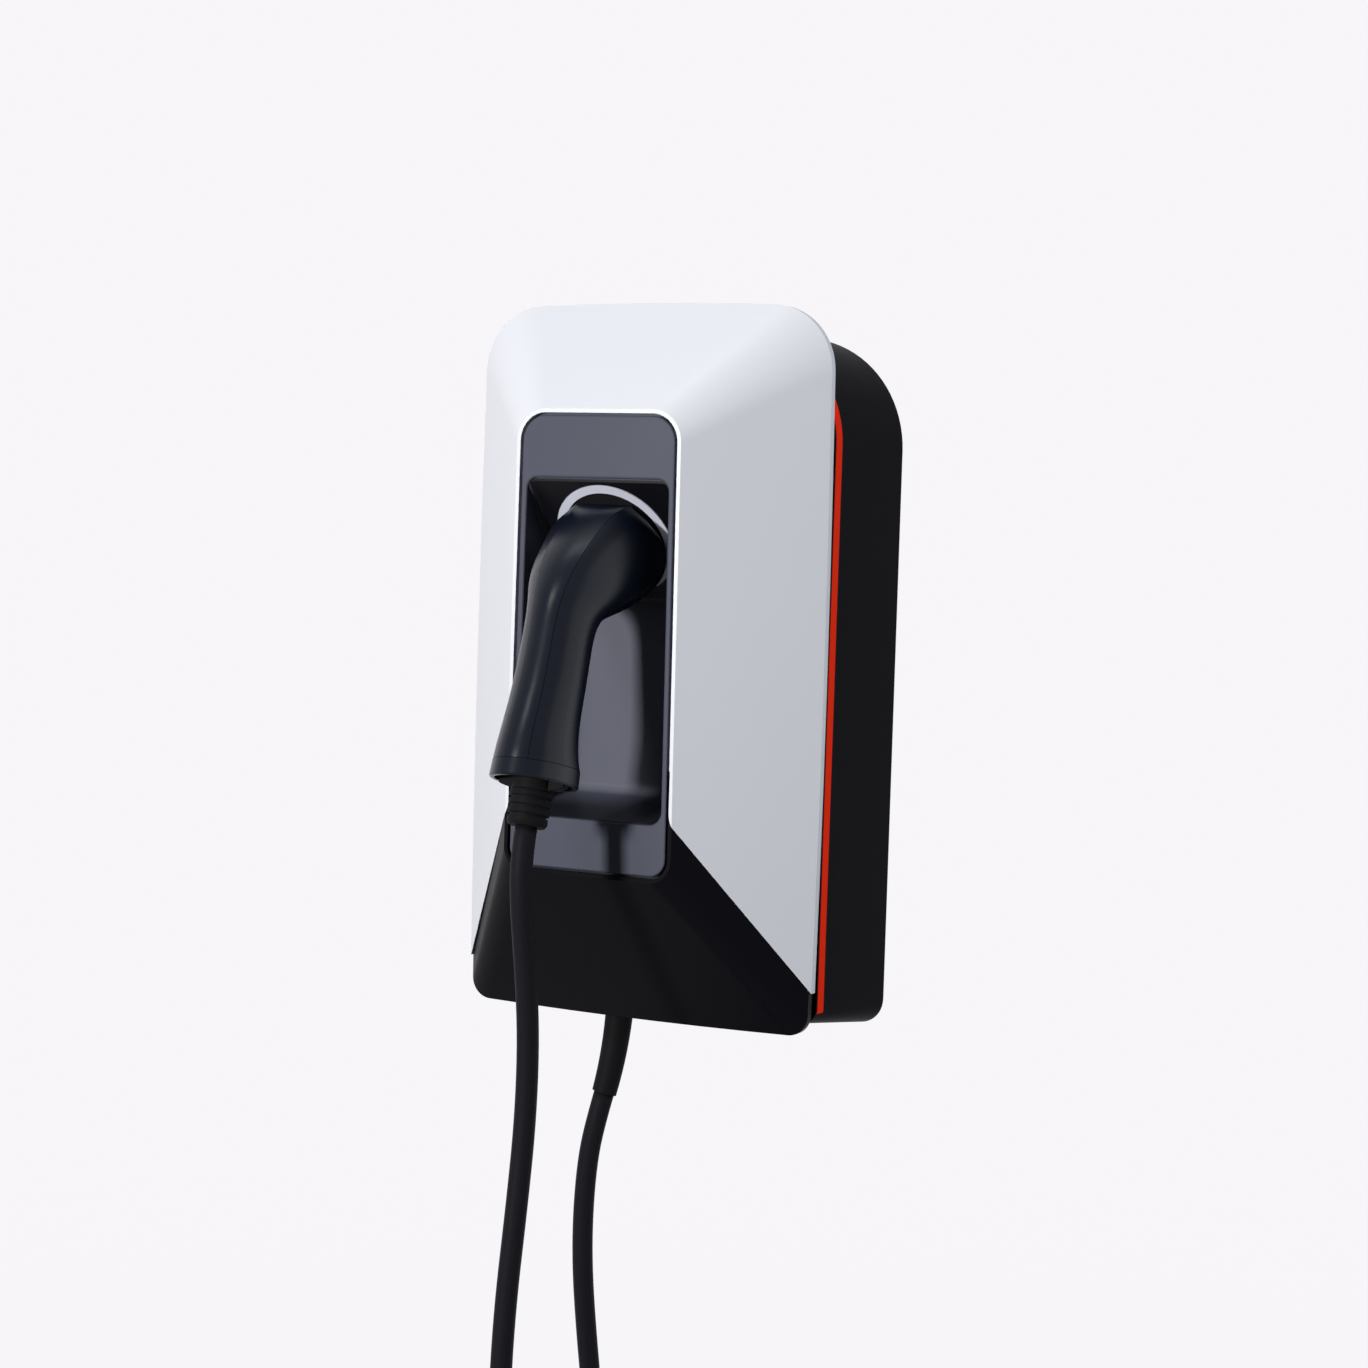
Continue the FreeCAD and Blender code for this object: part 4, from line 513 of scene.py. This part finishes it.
# %% Control points
CABLE = 0.0123
COIL_X, COIL_DEPTH, COIL_DROP, COIL_RADIUS = -0.0197, 0.155, 0.503, 0.074
GLAND_DROP = [(-32.46, 78.76, -258.74), (-35.44, 81.71, -274.18), (-39.6, 83.4, -297.0),
              (-42.0, 83.4, -330.0), (-42.3, 82.0, -364.0), (-40.2, 79.0, -402.0), (-35.8, 76.2, -446.5)]
PLUG_DROP = [(0.0, 231.01, -84.18), (0.0, 235.15, -99.64), (0.0, 235.0, -124.0), (0.0, 227.5, -163.0),
             (-0.5, 221.5, -203.0), (-1.5, 221.0, -249.0), (-3.0, 225.5, -297.0), (-5.5, 229.8, -346.0),
             (-6.6, 231.8, -394.0), (-4.6, 234.0, -446.0), (-3.0, 236.6, -492.0)]
CELLS = np.array([(-1.366, 0.5), (-1.366, -0.5), (-0.5, -1.0), (-0.5, 0.0), (-0.5, 1.0),
                  (0.5, 1.0), (0.5, 0.0), (0.5, -1.0), (1.366, -0.5), (1.366, 0.5)]) * CABLE
FIRST_ANGLE, STEP, STEPS = 183.75, 22.5, 152
SLIP_START, SLIP_END, SLIP_SWELL = 100.0, 175.0, 0.25


def smooth_step(share):
    """0 to 1 with level ends: 3 s^2 - 2 s^3."""
    return share * share * (3.0 - 2.0 * share)


def depth_points(route):
    """Points given as x, depth from the wall and height in millimetres, as metres in the frame."""
    return np.array(route) * (0.001, -0.001, 0.001)


def coil_points(angles):
    """Control points of the coil: a circle whose radius and side offset come from the turn's cell.

    An angle of 180 degrees is the back, 270 the bottom and 360 the front, and it grows along the cable.
    The slip to the next cell runs from SLIP_START to SLIP_END degrees past the front.  A quadratic
    spline cuts inside its polygon, so the radius is enlarged by that share.
    """
    turns, phase = np.divmod(angles - 180.0, 360.0)
    slip = np.clip((phase - 180.0 - SLIP_START) / (SLIP_END - SLIP_START), 0.0, 1.0)
    share = smooth_step(slip)[:, None]
    cell = np.clip(turns, 0, len(CELLS) - 1).astype(int)
    following = np.clip(cell + 1, 0, len(CELLS) - 1)
    offset = CELLS[cell] * (1.0 - share) + CELLS[following] * share
    offset *= (1.0 + SLIP_SWELL * np.sin(math.pi * slip) ** 2)[:, None]
    radius = (COIL_RADIUS + offset[:, 1]) / (0.75 + 0.25 * math.cos(math.radians(STEP)))
    turn = np.radians(angles)
    return np.stack([COIL_X + offset[:, 0], -COIL_DEPTH - radius * np.cos(turn),
                     -COIL_DROP + radius * np.sin(turn)], axis=1)


winding = coil_points(FIRST_ANGLE + STEP * np.arange(STEPS))
splice = winding[-2:].mean(axis=0)
wall_points = np.concatenate([depth_points(GLAND_DROP), winding[:-1], [splice]])
lead_points = np.concatenate([[splice], winding[-1:], depth_points(PLUG_DROP)[::-1]])
print("coil: %.1f turns of %.0f mm" % (STEP * (STEPS - 1) / 360.0, 2000.0 * COIL_RADIUS))

# %% [markdown]
# ## From control points to a smooth line
#
# Blender itself works out the spline: a curve object carries the control points, its evaluated mesh is
# the line, and both are thrown away once the points are read.  The formula could be written out in
# numpy, but Blender's own already gives the array.

# %% Smooth lines
SPLINE_ORDER, SPLINE_STEPS = 3, 5


def smooth_line(name, points):
    """Points of a NURBS spline of SPLINE_ORDER, with SPLINE_STEPS of them for each control point."""
    data = bpy.data.curves.new(name, "CURVE")
    data.dimensions = "3D"
    spline = data.splines.new("NURBS")
    spline.points.add(len(points) - 1)
    spline.points.foreach_set("co", np.column_stack([points, np.ones(len(points))]).ravel())
    spline.order_u = SPLINE_ORDER
    spline.use_endpoint_u = True
    spline.resolution_u = SPLINE_STEPS
    carrier = bpy.data.objects.new(name, data)
    mesh = bpy.data.meshes.new_from_object(carrier)
    line = np.empty(len(mesh.vertices) * 3)
    mesh.vertices.foreach_get("co", line)
    bpy.data.objects.remove(carrier)
    bpy.data.meshes.remove(mesh)
    return line.reshape(-1, 3)


def line_length(line):
    return float(np.linalg.norm(np.diff(line, axis=0), axis=1).sum())


wall_line = smooth_line("wall_line", wall_points)
lead_line = smooth_line("lead_line", lead_points)
print("wall side %.3f m, lead %.3f m" % (line_length(wall_line), line_length(lead_line)))

# %% [markdown]
# ## Cable and lead
#
# The cable is one cord, but its front drop has to follow the connector when that is pulled out.  One mesh
# on one body would tear away from the connector.  So it is spliced under the strap at the coil's front:
# the wall side rides on the station, and the lead is a piece of its own that rides on no body.

# %% Cable and lead
cable = piece("charging_cable", tube_mesh("charging_cable", wall_line, CABLE / 2), "station", "cable_rubber")
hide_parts("cable_gland_drop", "cable_coil")

lead = piece("cable_lead", tube_mesh("cable_lead", lead_line, CABLE / 2), None, "cable_rubber")
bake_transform(lead)
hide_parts("cable_plug_drop")
print("faces: cable %d, lead %d" % (len(cable.data.polygons), len(lead.data.polygons)))

# %% [markdown]
# ## Coil straps
#
# Three hook-and-loop straps hold the coil.  A ring of constant size would cut through some strands and
# stand off others.  A taut strap round a bundle touches only its outermost strands, so in any direction
# its line lies on the strand that reaches farthest that way.  The strap goes once round, climbs over its
# own start and ends on top of it.

# %% Straps
STRAP_WIDTH, STRAP_THICKNESS = 0.014, 0.0011
STRAP_START, STRAP_LAP, STRAP_CLIMB = 0.35, 1.15, 0.35
STRAP_SLACK, LAP_LIFT = 0.0004, 1.15 * STRAP_THICKNESS
STRAP_ROWS, STRAP_COLUMNS = 150, 16
EDGE_POWER, FACE_POWER = 0.35, 0.6
STRAP_ANGLES = (90.0, 210.0, 330.0)


def rounded(wave, power):
    """A wave from -1 to 1 with its slopes made steeper, which squares the corners of a section."""
    return np.sign(wave) * np.abs(wave) ** power


def strap_points(turn_degrees):
    """Grid of a strap: rows go round the bundle, columns go round the strap's own flat section.

    A row's middle is its farthest strand's centre plus the strand's radius in the row's direction; after
    a full turn a smooth step lifts it over the strap's start.
    """
    around = np.linspace(0.0, 2.0 * math.pi + STRAP_LAP, STRAP_ROWS) + STRAP_START
    outward = np.stack([np.cos(around), np.sin(around)], axis=1)
    strand = CELLS[np.argmax(outward @ CELLS.T, axis=1)]
    climb = np.clip((around - around[0] - 2.0 * math.pi + STRAP_CLIMB) / STRAP_CLIMB, 0.0, 1.0)
    lift = STRAP_SLACK + LAP_LIFT * smooth_step(climb)
    middle = strand + outward * (CABLE / 2 + lift)[:, None]
    corner = np.linspace(0.0, 2.0 * math.pi, STRAP_COLUMNS, endpoint=False)
    flat_x = rounded(np.cos(corner), EDGE_POWER) * STRAP_WIDTH / 2
    flat_y = rounded(np.sin(corner), FACE_POWER) * STRAP_THICKNESS / 2
    section = middle[:, None] + outward[:, None] * (flat_y + STRAP_THICKNESS / 2)[None, :, None]
    turn = math.radians(turn_degrees)
    radial = np.array((0.0, -math.cos(turn), math.sin(turn)))
    tangent = np.array((0.0, math.sin(turn), math.cos(turn)))
    centre = np.array((COIL_X, -COIL_DEPTH, -COIL_DROP)) + COIL_RADIUS * radial
    points = (centre + section[:, :, :1] * SIDEWAYS + section[:, :, 1:] * radial
              + flat_x[None, :, None] * tangent)
    track = np.stack(np.broadcast_arrays(distances(middle)[:, None], flat_x[None, :]), axis=-1)
    return points, track


for number, turn_degrees in enumerate(STRAP_ANGLES, start=1):
    name = "coil_strap_%d" % number
    points, track = strap_points(turn_degrees)
    mesh = woven(name, points, close_columns=True, uv=track, cap=True)
    strap = piece(name, mesh, "station", "tie_fabric")
    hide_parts("coil_ties")
    print("%s: %.0f mm long, %.0f mm wide" % (name, 1000.0 * track[-1, 0, 0], 1000.0 * STRAP_WIDTH))

# %% [markdown]
# ## Room and floor
#
# The charger hangs in a pale, even studio.  A bright room would give that tone and also flood the black
# parts with light, so the world has two strengths: nearly white for what the camera and mirrors see, and
# a faint one for what lights the object.  The floor lies well below the coil.  Near the object it mixes
# in a matt surface that takes its shadow, and far out it fades into the room's own tone, so that no
# horizon shows.

# %% Room and floor
PAPER = (0.935, 0.918, 0.945)
ROOM_LIGHT, ROOM_STRENGTH = rgb(0.95, 0.97, 1.0), 0.035
FLOOR_Z, FLOOR_REACH, FLOOR_POINTS = -1.40, 8.0, 9
FADE_START, FADE_END = 1.8, 5.0
NEAR_GLOW, SHADOW_SHARE = 1.13, 0.15
FLOOR_LIT, FLOOR_SEEN = rgb(0.12, 0.12, 0.13), rgb(0.80, 0.80, 0.82)


class RoomFinish(Finish):
    """The same helpers on the world's node tree."""

    def __init__(self, world):
        world.use_nodes = True
        self.tree = world.node_tree
        self.tree.nodes.clear()

    def background(self, colour, strength):
        return self.node("ShaderNodeBackground", {}, {"Color": colour, "Strength": strength}, "Background")


def seen_or_mirrored(finish):
    """1 for rays from the camera, in mirrors and through glass, 0 for rays that carry light."""
    camera_ray, mirror_ray, glass_ray = (finish.node("ShaderNodeLightPath", {}, {}, kind) for kind in (
        "Is Camera Ray", "Is Glossy Ray", "Is Transmission Ray"))
    return finish.maths("MINIMUM", camera_ray + mirror_ray + glass_ray, 1.0)


def floor_finish():
    """Glow of the paper's tone, with SHADOW_SHARE of a matt surface mixed in near the object."""
    finish = Finish("floor")
    seen = seen_or_mirrored(finish)
    reach = finish.node("ShaderNodeVectorMath", {"operation": "LENGTH"}, {0: finish.place}, "Value")
    fade = finish.ramp(reach, FADE_START, FADE_END)
    tone = finish.blend(seen, FLOOR_LIT, FLOOR_SEEN)
    ripple = finish.bump(finish.noise(30.0), 0.0001)
    matt = finish.node("ShaderNodeBsdfDiffuse", {}, {"Color": tone, "Normal": ripple}, "BSDF")
    near = rgb(*(NEAR_GLOW * channel for channel in PAPER))
    glow = finish.node("ShaderNodeEmission", {}, {"Color": finish.blend(fade, near, rgb(*PAPER))}, "Emission")
    glow_share = seen * (fade * SHADOW_SHARE + (1.0 - SHADOW_SHARE))
    finish.output(finish.node("ShaderNodeMixShader", {}, {0: glow_share, 1: matt, 2: glow}, 0))
    return finish.material


world = bpy.data.worlds.new("studio")
bpy.context.scene.world = world
room = RoomFinish(world)
room.output(room.node("ShaderNodeMixShader", {}, {
    0: seen_or_mirrored(room), 1: room.background(ROOM_LIGHT, ROOM_STRENGTH),
    2: room.background(rgb(*PAPER), 1.0)}, 0), "ShaderNodeOutputWorld")

span = np.linspace(-FLOOR_REACH, FLOOR_REACH, FLOOR_POINTS)
floor_points = np.stack(np.broadcast_arrays(span[:, None], span[::-1][None, :], FLOOR_Z), axis=-1)
floor = bpy.data.objects.new("floor", woven("floor", floor_points))
floor.data.materials.append(floor_finish())
bpy.context.scene.collection.objects.link(floor)
print("floor: %.2f m below the origin, %.0f m wide" % (-FLOOR_Z, 2.0 * FLOOR_REACH))

# %% [markdown]
# ## Lamps
#
# One lamp could light the whole cover, but each surface here asks for something of its own, so there are
# four.  The key is small and hard: it stands left of the camera near the connector's height, and throws
# the grip's clear shadow into the pocket.  The upper lamp draws the long highlight down the grip.  The
# strip above brightens the cover's upper slope, and a wall of soft, cool light at the right fills the
# cover's right slope and the flank.

# %% Lamps
WHITE = (1.0, 1.0, 1.0)


def soft_lamp(name, place, target, size, power, colour=WHITE):
    """Area lamp of a width and a height, at a place and turned to a target."""
    data = bpy.data.lights.new(name, "AREA")
    data.shape = "RECTANGLE"
    data.size, data.size_y = size
    data.energy, data.color = power, colour
    lamp = bpy.data.objects.new(name, data)
    lamp.location = place
    lamp.rotation_euler = (Vector(target) - Vector(place)).to_track_quat("-Z", "Y").to_euler()
    bpy.context.scene.collection.objects.link(lamp)
    print("%s lamp: %.0f W, %.2f m from its target" % (name, power, (Vector(target) - Vector(place)).length))


soft_lamp("key", (-0.59, -2.40, 0.16), (0.0, -0.1, 0.0), (0.22, 0.4), 47.0)
soft_lamp("upper", (-0.52, -1.95, 1.50), (0.0, -0.1, 0.0), (0.60, 0.5), 12.0)
soft_lamp("above", (-0.05, -0.30, 2.0), (-0.05, -0.29, 0.1), (1.8, 0.5), 9.0, (0.90, 0.95, 1.0))
soft_lamp("right", (1.6, 0.70, 0.2), (0.1, -0.08, 0.0), (2.4, 2.4), 21.0, (0.86, 0.93, 1.0))

bpy.context.scene.view_settings.view_transform = "Standard"
